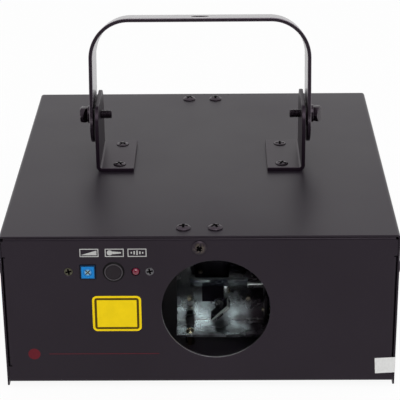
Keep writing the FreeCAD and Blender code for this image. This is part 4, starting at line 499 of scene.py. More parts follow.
def brushed_group():
    """Long fine lines of brushed or turned metal, with handling marks."""
    group, given, out = new_group("Brushed Lines", {"Scale": 220.0, "Stretch": 30.0},
                                  {"Height": "Float", "Marks": "Float"})
    places = object_places(group)
    x, y, z = parts_of(group, places)
    drawn = add_node(group, "ShaderNodeCombineXYZ", X=maths(group, "DIVIDE", x, given["Stretch"]), Y=y, Z=z)
    marks = noise(group, places, given["Scale"], 5.0)
    fill(group, out, Height=noise(group, drawn.outputs[0], times(group, given["Scale"], 12.0)),
         Marks=spread(group, marks, 0.0, 1.0, 0.35, 0.68))
    return group


GROUP_MAKERS = {"grain": grain_group, "edge": edge_group, "dust": dust_group, "brushed": brushed_group}
GROUPS = {}


def use_group(tree, key, **values):
    """What a shared shader group puts out, placed in a material with its own values."""
    if key not in GROUPS:
        GROUPS[key] = GROUP_MAKERS[key]()
    node = tree.nodes.new("ShaderNodeGroup")
    node.node_tree = GROUPS[key]
    return fill(tree, node, **values).outputs


# Finishes

def new_finish(name, roughness, metallic=0.0):
    """A material, its node tree and its Principled shader."""
    material = bpy.data.materials.new(name)
    material.use_nodes = True
    tree = material.node_tree
    return material, tree, fill(tree, tree.nodes["Principled BSDF"], Roughness=roughness, Metallic=metallic)


def opened(material):
    """The node tree of a finished material, its Principled shader and what colours it."""
    tree = material.node_tree
    shader = tree.nodes["Principled BSDF"]
    return tree, shader, shader.inputs["Base Color"].links[0].from_socket


def solid(rgb, scale=1.0):
    """A colour with its alpha, made lighter or darker."""
    return tuple(min(1.0, value * scale) for value in rgb) + (1.0,)


def bump(tree, shader, height, depth, **normal):
    """Raises the surface by a height pattern, over a normal if one is named."""
    raised = add_node(tree, "ShaderNodeBump", Height=height, Strength=1.0, Distance=depth, **normal)
    fill(tree, shader, Normal=raised.outputs[0])


def skin(tree, shader, rgb, roughness, tone, height, edge, depth, tones, wear, gloss):
    """Tone and gloss that follow a pattern, edges worn lighter, and fine bumps."""
    toned = blend(tree, tone, solid(rgb, tones[0]), solid(rgb, tones[1]))
    worn = blend(tree, times(tree, edge["Edge"], wear[0]), toned, solid(rgb, wear[1]))
    rough = spread(tree, tone, roughness + gloss[0], roughness + gloss[1])
    fill(tree, shader, Base_Color=worn, Roughness=rough)
    bump(tree, shader, height, depth, Normal=edge["Normal"])
    return worn, rough


def powder_coat(name, rgb, paint, roughness, specular, depth):
    """Satin black powder coat: fine bumps, soft edges, uneven gloss and a trace of dust."""
    material, tree, shader = new_finish(name, roughness)
    grain = use_group(tree, "grain", Scale=1.0 / paint.grain, Mottle_Scale=14.0)
    edge = use_group(tree, "edge", Radius=paint.edge)
    dust = use_group(tree, "dust", Amount=0.03)["Mask"]
    worn, rough = skin(tree, shader, rgb, roughness, grain["Mottle"], grain["Height"], edge, depth,
                       tones=(0.85, 1.15), wear=(0.35, 3.0), gloss=(-0.03, 0.03))
    fill(tree, shader, Base_Color=blend(tree, dust, worn, solid(paint.dust)),
         Roughness=maths(tree, "ADD", rough, times(tree, dust, 0.8)),
         Specular_IOR_Level=specular, Specular_Tint=solid(paint.tint))
    return material


def case_paint(paint):
    """Powder coat with the cut edge of the sheet left bare at the lower left of the window: bare metal, kept
    to the lower left as a painted highlight where the edge catches the light.
    """
    material = powder_coat("Housing paint", paint.case, paint, paint.roughness, paint.specular,
                           paint.grain_depth)
    tree, shader, painted = opened(material)
    window = centre("window_glass")
    x, y, z = axes(tree)
    inside = maths(tree, "LESS_THAN", from_axis(tree, x, z, window), WINDOW_RADIUS + WINDOW_FIT)
    near = maths(tree, "LESS_THAN", y, FRONT + CUT_EDGE_DEPTH)
    slope = 2.0
    lean = maths(tree, "ADD", x, times(tree, z, slope))
    middle = window.x + slope * window.z
    bare_to, painted_from = middle - 1.7 * WINDOW_RADIUS, middle - 0.9 * WINDOW_RADIUS
    # Painted highlight: the bare edge shows only at the lower left of the window.
    highlit_lower_left = spread(tree, lean, 1.0, 0.06, bare_to, painted_from)
    rim = times(tree, inside, near, highlit_lower_left)
    fill(tree, shader, Base_Color=blend(tree, rim, painted, solid(paint.bare)),
         Metallic=times(tree, rim, 0.9))
    return material


def yoke_paint(paint):
    """The yoke's smoother coat under clear lacquer."""
    material = powder_coat("Yoke paint", paint.bracket, paint, paint.yoke_roughness, paint.yoke_specular,
                           paint.yoke_grain_depth)
    tree, shader, _ = opened(material)
    fill(tree, shader, Coat_Weight=paint.yoke_lacquer, Coat_Roughness=paint.yoke_roughness)
    return material


def moulded(name, rgb, roughness, grain_scale=1800.0, depth=0.01 * MM, edge=0.25 * MM, coat=0.0,
            specular=0.5):
    """Moulded plastic or rubber with a fine skin and rounded edges."""
    material, tree, shader = new_finish(name, roughness)
    grain = use_group(tree, "grain", Scale=grain_scale, Mottle_Scale=60.0)
    rounded = use_group(tree, "edge", Radius=edge)
    skin(tree, shader, rgb, roughness, grain["Mottle"], grain["Height"], rounded, depth,
         tones=(0.86, 1.14), wear=(0.25, 1.8), gloss=(-0.05, 0.06))
    fill(tree, shader, Coat_Weight=coat, Specular_IOR_Level=specular)
    return material


def metal(name, rgb, roughness, scale=220.0, stretch=30.0, depth=0.006 * MM, edge=0.15 * MM, metallic=1.0):
    """Brushed, plated or blackened metal with fine lines and handling marks."""
    material, tree, shader = new_finish(name, roughness, metallic)
    lines = use_group(tree, "brushed", Scale=scale, Stretch=stretch)
    rounded = use_group(tree, "edge", Radius=edge)
    skin(tree, shader, rgb, roughness, lines["Marks"], lines["Height"], rounded, depth,
         tones=(0.82, 1.1), wear=(0.3, 1.7), gloss=(0.07, -0.06))
    return material


def blackened(name, look, roughness, specular=0.34):
    """Blackened steel with the same tinted reflection as the coat round it."""
    material = metal(name, look.metal.oxide, roughness, scale=500.0, stretch=2.0, metallic=0.0)
    tree, shader, _ = opened(material)
    fill(tree, shader, Specular_IOR_Level=specular, Specular_Tint=solid(look.paint.tint))
    return material


def worn_screw(look):
    """Black screw whose middle is worn to dull brass by the driver."""
    material = blackened("Panel screw", look, 0.4)
    tree, shader, black = opened(material)
    x, _, z = axes(tree)
    reach = from_axis(tree, x, z, centre("front_panel_screw"))
    patches = spread(tree, noise(tree, object_places(tree), 900.0), 0.0, 1.0, 0.44, 0.62)
    worn_to, black_from = 2.4 * MM, 4.2 * MM
    worn = times(tree, spread(tree, reach, 1.0, 0.0, worn_to, black_from), patches)
    fill(tree, shader, Base_Color=blend(tree, worn, black, solid(look.metal.dull_brass)),
         Metallic=times(tree, worn, 0.8))
    return material


def slotted_rotor(plastic):
    """Rotor with a pale middle and brass at the bottom of its slot."""
    material = moulded("Trimmer rotor", plastic.trimmer, 0.4, depth=0.004 * MM)
    tree, shader, blue = opened(material)
    x, y, z = axes(tree)
    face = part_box("sensitivity_rotor")[0].y
    blue_to, brass_from = face + 0.1 * MM, face + 0.4 * MM
    deep = spread(tree, y, 0.0, 1.0, blue_to, brass_from)
    reach = from_axis(tree, x, z, centre("sensitivity_rotor"))
    blue_from, pale_to = 2.1 * MM, 1.5 * MM
    pale = blend(tree, spread(tree, reach, 0.0, 1.0, blue_from, pale_to), blue, solid(plastic.rotor))
    fill(tree, shader, Base_Color=blend(tree, deep, pale, solid(plastic.rotor_slot)))
    return material


def trimmer_body(plastic):
    """Blue plastic with painted shade towards the edges of its face, for the shadow of the hole round it."""
    material = moulded("Trimmer body", plastic.trimmer, 0.36, depth=0.004 * MM, specular=0.2)
    tree, shader, blue = opened(material)
    low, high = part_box("sensitivity_pot")
    middle, half = (low + high) / 2, (high.x - low.x) / 2
    x, _, z = axes(tree)
    reach = maths(tree, "MAXIMUM", away(tree, x, middle.x), away(tree, z, middle.z))
    blue_to, shade_from = half - 1.05 * MM, half - 0.45 * MM
    # Painted shade: the face darkens to its edges, as the shadow of the panel's hole.
    edge = spread(tree, reach, 0.0, 1.0, blue_to, shade_from)
    fill(tree, shader, Base_Color=blend(tree, edge, blue, solid(plastic.trimmer, 0.08)))
    return material


def rubber_lip(plastic):
    """Black rubber, darker than the other rubber as painted shade round the boot, with a grey ring painted
    along its crest as a highlight.
    """
    material = moulded("Rubber lip", plastic.lip, 0.55, specular=0.12)
    tree, shader, black = opened(material)
    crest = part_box("microphone_boot")[0].y
    grey_to, black_from = crest + 0.12 * MM, crest + 0.34 * MM
    # Painted highlight: a grey ring along the crest.
    crest_highlight = spread(tree, axes(tree)[1], 1.0, 0.0, grey_to, black_from)
    fill(tree, shader, Base_Color=blend(tree, crest_highlight, black, solid(plastic.crest)))
    return material


def coated_mirror(name, rgb, ground, node, normal):
    """Coated glass mirror with ground edges, told apart by their distance from the plate's middle plane."""
    material, tree, shader = new_finish(name, 0.05)
    distance = away(tree, dot_product(tree, object_places(tree), normal), centre(node).dot(normal))
    just_inside = MIRROR_SHEET * 0.46
    edge = maths(tree, "LESS_THAN", distance, just_inside)
    grain = use_group(tree, "grain", Scale=2500.0, Mottle_Scale=90.0)
    coat = blend(tree, grain["Mottle"], solid(rgb, 0.8), solid(rgb, 1.2))
    fill(tree, shader, Base_Color=blend(tree, edge, coat, solid(ground)),
         Roughness=spread(tree, edge, 0.05, 0.6))
    bump(tree, shader, times(tree, grain["Height"], edge), 0.02 * MM)
    return material


def bench_metal(metals):
    """Rolled aluminium sheet with painted light and shade: bright in patches at the lower left, where the
    light through the window falls, and painted dark away from it.
    """
    material = metal("Bench aluminium", metals.aluminium, 0.26, scale=90.0, stretch=10.0)
    tree, shader, sheet = opened(material)
    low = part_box("optics_bench")[0]
    x, _, z = axes(tree)
    cloud = spread(tree, noise(tree, object_places(tree), 85.0, 5.0), 0.0, 1.0, 0.38, 0.66)
    lit_below, shade_above = low.z + 16.0 * MM, low.z + 40.0 * MM
    lit_left, shade_right = low.x + 40.0 * MM, low.x + 52.0 * MM
    rise = spread(tree, z, 1.0, 0.12, lit_below, shade_above)
    side = spread(tree, x, 1.0, 0.10, lit_left, shade_right)
    # Painted light: the sheet is bright low and to the left, in patches, and falls to the shade colour
    # elsewhere.
    window_light = times(tree, rise, side, maths(tree, "ADD", cloud, 0.35))
    fill(tree, shader, Base_Color=blend(tree, window_light, solid(metals.dull), sheet))
    return material


def let_lamps_through(tree, shader, rgb):
    """Lets part of the lamps' light pass through glass unbent, so that what lies behind it is dimly lit."""
    clear = add_node(tree, "ShaderNodeBsdfTransparent", Color=solid(rgb))
    shadow = tree.nodes.new("ShaderNodeLightPath").outputs["Is Shadow Ray"]
    passed = mixed(tree, shadow, shader.outputs[0], clear.outputs[0])
    fill(tree, tree.nodes["Material Output"], Surface=passed)


def window_glass(plastic):
    """Window glass with a coating that leaves only a weak violet reflection, and a few wiping marks."""
    material, tree, shader = new_finish("Window glass", 0.02)
    wiped = use_group(tree, "grain", Scale=400.0, Mottle_Scale=45.0)["Mottle"]
    fill(tree, shader, Base_Color=blend(tree, wiped, solid(plastic.glass), solid(plastic.glass, 0.97)),
         Roughness=spread(tree, wiped, 0.0, 0.035), Transmission_Weight=1.0, IOR=1.1,
         Specular_Tint=solid(plastic.glass_tint))
    let_lamps_through(tree, shader, plastic.glass_pass)
    return material


def fuse_glass(rgb, plating):
    """Glass tube with plated caps at its two ends."""
    material, tree, shader = new_finish("Fuse glass", 0.08)
    low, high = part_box("fuse")
    from_middle = away(tree, axes(tree)[1], (low.y + high.y) / 2)
    half_glass = (high.y - low.y) * 0.3
    cap = maths(tree, "GREATER_THAN", from_middle, half_glass)
    fill(tree, shader, Base_Color=blend(tree, cap, solid(rgb, 0.9), solid(plating)), Metallic=cap)
    return material


def circuit_board(rgb, tracks):
    """Green solder mask with lighter tracks in straight runs."""
    material, tree, shader = new_finish("Circuit board", 0.35)
    bricks = add_node(tree, "ShaderNodeTexBrick", Vector=object_places(tree), Scale=95.0, Mortar_Size=0.035)
    lines = bricks.outputs["Fac"]
    grain = use_group(tree, "grain", Scale=700.0, Mottle_Scale=120.0)
    runs = times(tree, lines, grain["Mottle"])
    fill(tree, shader, Base_Color=blend(tree, runs, solid(rgb), solid(tracks)))
    bump(tree, shader, lines, 0.03 * MM)
    return material


def indicator_lamp(rgb):
    """Clear red plastic lamp."""
    material = moulded("Indicator lamp", rgb, 0.16, depth=0.002 * MM, coat=0.4)
    tree, shader, _ = opened(material)
    fill(tree, shader, Subsurface_Weight=0.35, Subsurface_Radius=(1.5 * MM, 0.2 * MM, 0.2 * MM),
         Subsurface_Scale=1.0)
    return material


def printed(name, rgb):
    """Screen-printed ink, a little thin in places."""
    material, tree, shader = new_finish(name, 0.6)
    grain = use_group(tree, "grain", Scale=2600.0, Mottle_Scale=150.0)
    fill(tree, shader, Base_Color=blend(tree, grain["Mottle"], solid(rgb, 0.92), solid(rgb)),
         Specular_IOR_Level=0.12)
    bump(tree, shader, grain["Height"], 0.004 * MM)
    return material


def paper(name, rgb):
    """Matt paper with fibres."""
    material, tree, shader = new_finish(name, 0.75)
    fibres = use_group(tree, "brushed", Scale=700.0, Stretch=3.0)
    fill(tree, shader, Base_Color=blend(tree, fibres["Marks"], solid(rgb, 0.93), solid(rgb)))
    bump(tree, shader, fibres["Height"], 0.015 * MM)
    return material


def slot_finishes(look):
    """The finish of each material slot of the record."""
    paint, metals, plastic = look.paint, look.metal, look.plastic
    return {
        "case_paint": case_paint(paint),
        "bracket_paint": powder_coat("Bracket paint", paint.bracket, paint, paint.roughness,
                                     paint.bracket_specular, paint.grain_depth),
        "black_screw": blackened("Black screws", look, 0.3, 0.55),
        "yoke_bolt_steel": blackened("Yoke bolts", look, 0.28),
        "panel_screw_steel": worn_screw(look),
        "bare_steel": metal("Zinc plating", metals.zinc, 0.3, scale=400.0, stretch=2.0),
        "control_screw_steel": metal("Nickel", metals.nickel, 0.3, scale=500.0, stretch=2.0),
        "black_rubber": moulded("Rubber", plastic.rubber, 0.55, depth=0.02 * MM),
        "washer_plastic": moulded("Washers", plastic.washer, 0.5),
        "clear_glass": window_glass(plastic),
        "fuse_glass": fuse_glass(plastic.glass, metals.cap),
        "board_laminate": circuit_board(plastic.board, plastic.copper),
        "spacer_brass": metal("Brass spacers", metals.brass, 0.28, stretch=2.0),
        "contact_metal": metal("Contacts", metals.gold, 0.22, stretch=4.0),
        "trimmer_blue": trimmer_body(plastic),
        "trimmer_brass": slotted_rotor(plastic),
        "microphone_black": moulded("Microphone", plastic.felt, 0.95, 3200.0, 0.12 * MM),
        "lamp_red": indicator_lamp(plastic.lamp),
        "bench_aluminium": bench_metal(metals),
        "laser_barrel": metal("Laser barrels", metals.barrel, 0.34, stretch=3.0),
        "motor_black": moulded("Motor cans", plastic.motor, 0.45, specular=0.14),
        "scan_mirror": coated_mirror("Scanner mirrors", metals.coating, metals.ground, "x_mirror",
                                     X_MIRROR_NORMAL),
        "shaft_steel": metal("Shafts", metals.steel, 0.26, stretch=2.0),
        "wire_insulation": moulded("Wires", plastic.wire, 0.42),
        "black_plastic": moulded("Black plastic", plastic.black, 0.42),
        "guard_chrome": metal("Guard wire", metals.chrome, 0.14, scale=400.0, stretch=2.0),
        "dial_white": moulded("Dials", plastic.dial, 0.4),
    }


def give(node, material):
    """Puts a material on a part."""
    for held in frame["nodes"][node].material_slots:
        held.material = material


def finish_of(node):
    """The material of a part."""
    return frame["nodes"][node].material_slots[0].material


# Modelling helpers

def deselect():
    """Nothing selected, in object mode."""
    if bpy.context.object and bpy.context.object.mode != "OBJECT":
        bpy.ops.object.mode_set(mode="OBJECT")
    bpy.ops.object.select_all(action="DESELECT")


def only(piece):
    """Selects one piece and makes it active."""
    deselect()
    piece.select_set(True)
    bpy.context.view_layer.objects.active = piece


def started(name):
    """The object that an add operator has just made, under its name, with its place in its mesh."""
    piece = bpy.context.object
    piece.name = name
    piece.data.name = name
    bpy.ops.object.transform_apply(location=True, rotation=True, scale=True)
    return piece


def edit(piece):
    """Goes into edit mode on one piece."""
    only(piece)
    bpy.ops.object.mode_set(mode="EDIT")


def pick(piece, kind, test):
    """Selects the vertices, edges or faces of a piece whose middle passes a test, and nothing else."""
    edit(piece)
    bpy.ops.mesh.select_mode(type=kind)
    bpy.ops.mesh.select_all(action="DESELECT")
    bpy.ops.object.mode_set(mode="OBJECT")
    mesh = piece.data
    if kind == "FACE":
        for face in mesh.polygons:
            face.select = test(face.center)
    elif kind == "EDGE":
        for edge in mesh.edges:
            ends = [mesh.vertices[i].co for i in edge.vertices]
            edge.select = test((ends[0] + ends[1]) / 2)
    else:
        for vertex in mesh.vertices:
            vertex.select = test(vertex.co)
    bpy.ops.object.mode_set(mode="EDIT")


def done(piece):
    """Back to object mode, with nothing selected."""
    bpy.ops.object.mode_set(mode="OBJECT")
    deselect()
    return piece


def everything(_):
    """Picks all."""
    return True


def extrude(*way):
    """Draws out what is selected in edit mode."""
    bpy.ops.mesh.extrude_region_move(TRANSFORM_OT_translate={"value": way})


def outward():
    """Selects all in edit mode and turns the faces outwards."""
    bpy.ops.mesh.select_all(action="SELECT")
    bpy.ops.mesh.normals_make_consistent(inside=False)


def applied(piece, kind, **settings):
    """A piece with one modifier added, set and applied."""
    only(piece)
    modifier = piece.modifiers.new(kind.title(), kind)
    for name, value in settings.items():
        setattr(modifier, name, value)
    bpy.ops.object.modifier_apply(modifier=modifier.name)
    return piece


def combine(piece, other, operation):
    """Takes another shape away from a piece, or keeps what they share. The other shape goes."""
    applied(piece, "BOOLEAN", operation=operation, solver="EXACT", object=other)
    bpy.data.objects.remove(other)
    return piece


def drawn_line(name, points):
    """A chain of edges through the points, drawn by extruding one vertex."""
    deselect()
    bpy.ops.mesh.primitive_plane_add(size=MM, location=points[0])
    piece = started(name)
    edit(piece)
    bpy.ops.mesh.select_mode(type="VERT")
    bpy.ops.mesh.select_all(action="SELECT")
    bpy.ops.mesh.merge(type="CENTER")
    for before, after in zip(points, points[1:]):
        bpy.ops.mesh.extrude_vertices_move(TRANSFORM_OT_translate={"value": Vector(after) - Vector(before)})
    return done(piece)


def turned_piece(name, outline, middle, axis, steps=48):
    """A round solid spun from (radius, distance along the axis) points from axis to axis, or round a ring."""
    along = Vector(axis)
    out = along.orthogonal().normalized()
    piece = drawn_line(name, [Vector(middle) + out * radius + along * rise for radius, rise in outline])
    pick(piece, "VERT", everything)
    bpy.ops.mesh.spin(steps=steps, angle=math.tau, center=middle, axis=axis)
    bpy.ops.mesh.select_all(action="SELECT")
    bpy.ops.mesh.remove_doubles(threshold=MERGE)
    outward()
    return done(piece)


def box_piece(name, low, high):
    """A box between two corners."""
    deselect()
    bpy.ops.mesh.primitive_cube_add(size=1.0, location=(Vector(low) + Vector(high)) / 2)
    bpy.context.object.scale = Vector(high) - Vector(low)
    return started(name)


def upright_plane(name, middle, width, height, turn=math.pi / 2):
    """A flat upright rectangle that looks at the viewer, or to the rear."""
    deselect()
    bpy.ops.mesh.primitive_plane_add(size=1.0, location=middle, rotation=(turn, 0.0, 0.0))
    bpy.context.object.scale = (width, height, 1.0)
    return started(name)


def round_corners(piece, corner, segments):
    """Rounds the corners of a flat piece."""
    pick(piece, "VERT", everything)
    bpy.ops.mesh.bevel(affect="VERTICES", offset=corner, segments=segments)


def draw_out(piece, thickness):
    """Makes a flat upright piece a closed plate, drawn to the viewer, or to the rear if it is negative."""
    pick(piece, "FACE", everything)
    extrude(0.0, -thickness, 0.0)
    outward()
    return done(piece)


def front_plate(name, x, z, width, height, thickness, corner=0.0):
    """A thin plate on the front panel, its corners rounded."""
    piece = upright_plane(name, (x, FRONT, z), width, height)
    if corner:
        round_corners(piece, corner, segments=6)
    return draw_out(piece, thickness)


def front_frame(name, x, z, width, height, line, thickness):
    """A thin rectangular frame on the front panel: a plane, inset, its middle taken out, then drawn out."""
    piece = upright_plane(name, (x, FRONT, z), width, height)
    pick(piece, "FACE", everything)
    bpy.ops.mesh.inset(thickness=line, depth=0.0)
    bpy.ops.mesh.delete(type="FACE")
    return draw_out(done(piece), thickness)


def front_disc(name, x, z, radius, thickness):
    """A thin round plate on the front panel with a soft rim."""
    soft = thickness / 2
    outline = [(0.0, 0.0), (radius, 0.0), (radius, soft), (radius - soft, thickness), (0.0, thickness)]
    return turned_piece(name, outline, (x, FRONT, z), TO_VIEWER)


def cross_slot(piece, crown, span, width, depth):
    """Cuts a cross slot down from the crown of a piece that stands on +Z at the origin."""
    for wide, deep in ((span, width), (width, span)):
        half = Vector((wide / 2, deep / 2, depth))
        top = Vector((0.0, 0.0, crown))
        combine(piece, box_piece("slot", top - half, top + half), "DIFFERENCE")
    return piece


def cross_screw(name, outline, span, width, depth, finish, recess, rim=math.inf):
    """A turned screw on +Z at the origin. Its cross slot, and its gap beyond a rim, have a near-black finish
    of painted shade.
    """
    crown = outline[0][1]
    piece = turned_piece(name, outline, ORIGIN, UP)
    cross_slot(smooth(piece), crown, span, width, depth)
    piece.data.materials.append(finish)
    piece.data.materials.append(recess)
    long, short = span / 2 + SLACK, width / 2 + SLACK

    def is_dark(middle):
        across, along = sorted((abs(middle.x), abs(middle.y)))
        slotted = across < short and along < long and middle.z > crown - depth - SLACK
        return slotted or middle.xy.length > rim

    pick(piece, "FACE", is_dark)
    piece.active_material_index = 1
    bpy.ops.object.material_slot_assign()
    return done(piece)


def seated(piece, name, middle, axis, turn=0.0):
    """A copy of a piece that stands on +Z at the origin, turned about its axis and set in place."""
    only(piece)
    bpy.ops.object.duplicate()
    copy = bpy.context.object
    facing = Vector(UP).rotation_difference(Vector(axis)).to_matrix()
    copy.rotation_euler = (facing @ Matrix.Rotation(turn, 3, "Z")).to_euler()
    copy.location = middle
    return started(name)


def loose_boxes(node):
    """Lowest and highest corner of each separate body in a node's mesh."""
    mesh = frame["nodes"][node].data
    places = [tuple(round(value, 6) for value in vertex.co) for vertex in mesh.vertices]
    bodies = {spot: {spot} for spot in places}
    for face in mesh.polygons:
        corners = [places[index] for index in face.vertices]
        for corner in corners[1:]:
            if bodies[corner] is not bodies[corners[0]]:
                larger = bodies[corners[0]] | bodies[corner]
                for member in larger:
                    bodies[member] = larger
    separate = {id(body): body for body in bodies.values()}
    return [(Vector(map(min, *body)), Vector(map(max, *body))) for body in separate.values()]


def joined(pieces):
    """Several pieces made one, under the first one's name."""
    deselect()
    for piece in pieces:
        piece.select_set(True)
    bpy.context.view_layer.objects.active = pieces[0]
    bpy.ops.object.join()
    return pieces[0]


def smooth(piece, degrees=35):
    """Smooth faces with sharp edges where they turn by more than an angle."""
    only(piece)
    bpy.ops.object.shade_smooth_by_angle(angle=math.radians(degrees))
    return piece


def finish_piece(piece, body, material):
    """Gives a new piece its material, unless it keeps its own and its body."""
    if material:
        piece.data.materials.clear()
        piece.data.materials.append(material)
    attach(piece, body)


def stand_in(piece, body, material, node):
    """Finishes a new piece that takes the place of a node."""
    finish_piece(piece, body, material)
    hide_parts(node)


# Operators

class PROJECTOR_OT_finish_parts(bpy.types.Operator):
    """Gives every part of the projector the finish of its slot"""
    bl_idname = "projector.finish_parts"
    bl_label = "Finish Parts"

    def execute(self, context):
        look = context.scene.laser_projector
        metals = look.metal
        finishes = slot_finishes(look)
        for part in frame["record"]["subparts"]:
            give(part["node"], finishes[part["material_slot"]])
        give("yoke", yoke_paint(look.paint))
        give("optics_screws", metal("Bench screws", metals.yellow, 0.14, scale=900.0, stretch=2.0,
                                    depth=0.06 * MM))
        give("y_mirror", coated_mirror("Long mirror", metals.long_coating, metals.long_ground, "y_mirror",
                                       Y_MIRROR_NORMAL))
        return {"FINISHED"}


class PROJECTOR_OT_add_yoke_bolts(bpy.types.Operator):
    """Models a hex bolt with a real thread and sets one on each side of the yoke"""
    bl_idname = "projector.add_yoke_bolts"
    bl_label = "Add Yoke Bolts"

    def execute(self, context):
        bolt = context.scene.laser_projector.bolt
        right = joined([self.thread(bolt), self.flange(bolt), self.head(bolt)])
        smooth(right, degrees=28)
        left = seated(right, "left_hex_bolt", (0.0, 2 * PIVOT.y, 0.0), UP, math.pi)
        steel = finish_of("right_yoke_bolt")
        for piece, node in ((right, "right_yoke_bolt"), (left, "left_yoke_bolt")):
            stand_in(piece, node, steel, node)
        return {"FINISHED"}

    def turned(self, name, outline, x):
        """A round solid about the bolt's axis."""
        return turned_piece(name, outline, (x, PIVOT.y, PIVOT.z), RIGHT)

    def thread(self, bolt):
        """The threaded shank: a screwed-out ridge cut to a chamfered rod."""
        low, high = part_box("right_yoke_bolt")
        span = high.x - bolt.head - bolt.flange_height - low.x
        start = low.x - 2 * bolt.pitch
        root = bolt.thread - bolt.depth
        profile = ((0.0, root), (0.44, bolt.thread), (0.56, bolt.thread), (1.0, root))
        ridge = drawn_line("right_hex_bolt", [(start + bolt.pitch * along, PIVOT.y, PIVOT.z + radius)
                                              for along, radius in profile])
        only(ridge)
        bpy.context.scene.cursor.location = (0.0, PIVOT.y, PIVOT.z)
        bpy.ops.object.origin_set(type="ORIGIN_CURSOR")
        bpy.context.scene.cursor.location = ORIGIN
        turns = math.ceil(span / bolt.pitch) + 4
        steps = 32
        applied(ridge, "SCREW", axis="X", screw_offset=bolt.pitch, iterations=turns, steps=steps,
                render_steps=steps, use_merge_vertices=True, merge_threshold=MERGE)
        bpy.ops.object.transform_apply(location=True, rotation=True, scale=True)
        pick(ridge, "VERT", everything)
        bpy.ops.mesh.remove_doubles(threshold=MERGE)
        bpy.ops.mesh.fill_holes(sides=0)
        outward()
        done(ridge)
        end = bolt.thread - bolt.tip
        outer = bolt.thread * 1.01
        reach = span + bolt.flange_height / 2
        rod = self.turned("bolt_blank", [(0.0, 0.0), (end, 0.0), (outer, outer - end), (outer, reach),
                                         (0.0, reach)], low.x)
        return combine(ridge, rod, "INTERSECT")

    def flange(self, bolt):
        """The washer face under the head."""
        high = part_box("right_yoke_bolt")[1]
        soft = bolt.edge
        rise = bolt.flange_height
        outline = [(0.0, 0.0), (bolt.flange - soft, 0.0), (bolt.flange, soft), (bolt.flange, rise - soft),
                   (bolt.flange - soft, rise), (0.0, rise)]
        return self.turned("bolt_flange", outline, high.x - bolt.head - rise)

    def head(self, bolt):
        """A six-sided head whose corners are turned off at the crown."""
        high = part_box("right_yoke_bolt")[1]
        corner = bolt.flats / math.sqrt(3)
        base = high.x - bolt.head
        deselect()
        bpy.ops.mesh.primitive_cylinder_add(vertices=6, radius=corner, depth=bolt.head,
                                            location=(base + bolt.head / 2, PIVOT.y, PIVOT.z),
                                            rotation=(math.pi / 6, math.pi / 2, 0.0))
        hexagon = started("bolt_head")
        pick(hexagon, "EDGE", lambda p: base + bolt.edge < p.x < high.x - bolt.edge)
        bpy.ops.mesh.bevel(offset=bolt.edge, segments=2, affect="EDGES")
        done(hexagon)
        crown = bolt.flats / 2 - bolt.edge
        chamfer = math.radians(30)
        fall = (corner - crown) * math.tan(chamfer)
        outline = [(0.0, 0.0), (corner, 0.0), (corner, bolt.head - fall), (crown, bolt.head - bolt.edge / 3),
                   (crown - bolt.edge, bolt.head), (0.0, bolt.head)]
        return combine(hexagon, self.turned("bolt_crown", outline, base), "INTERSECT")


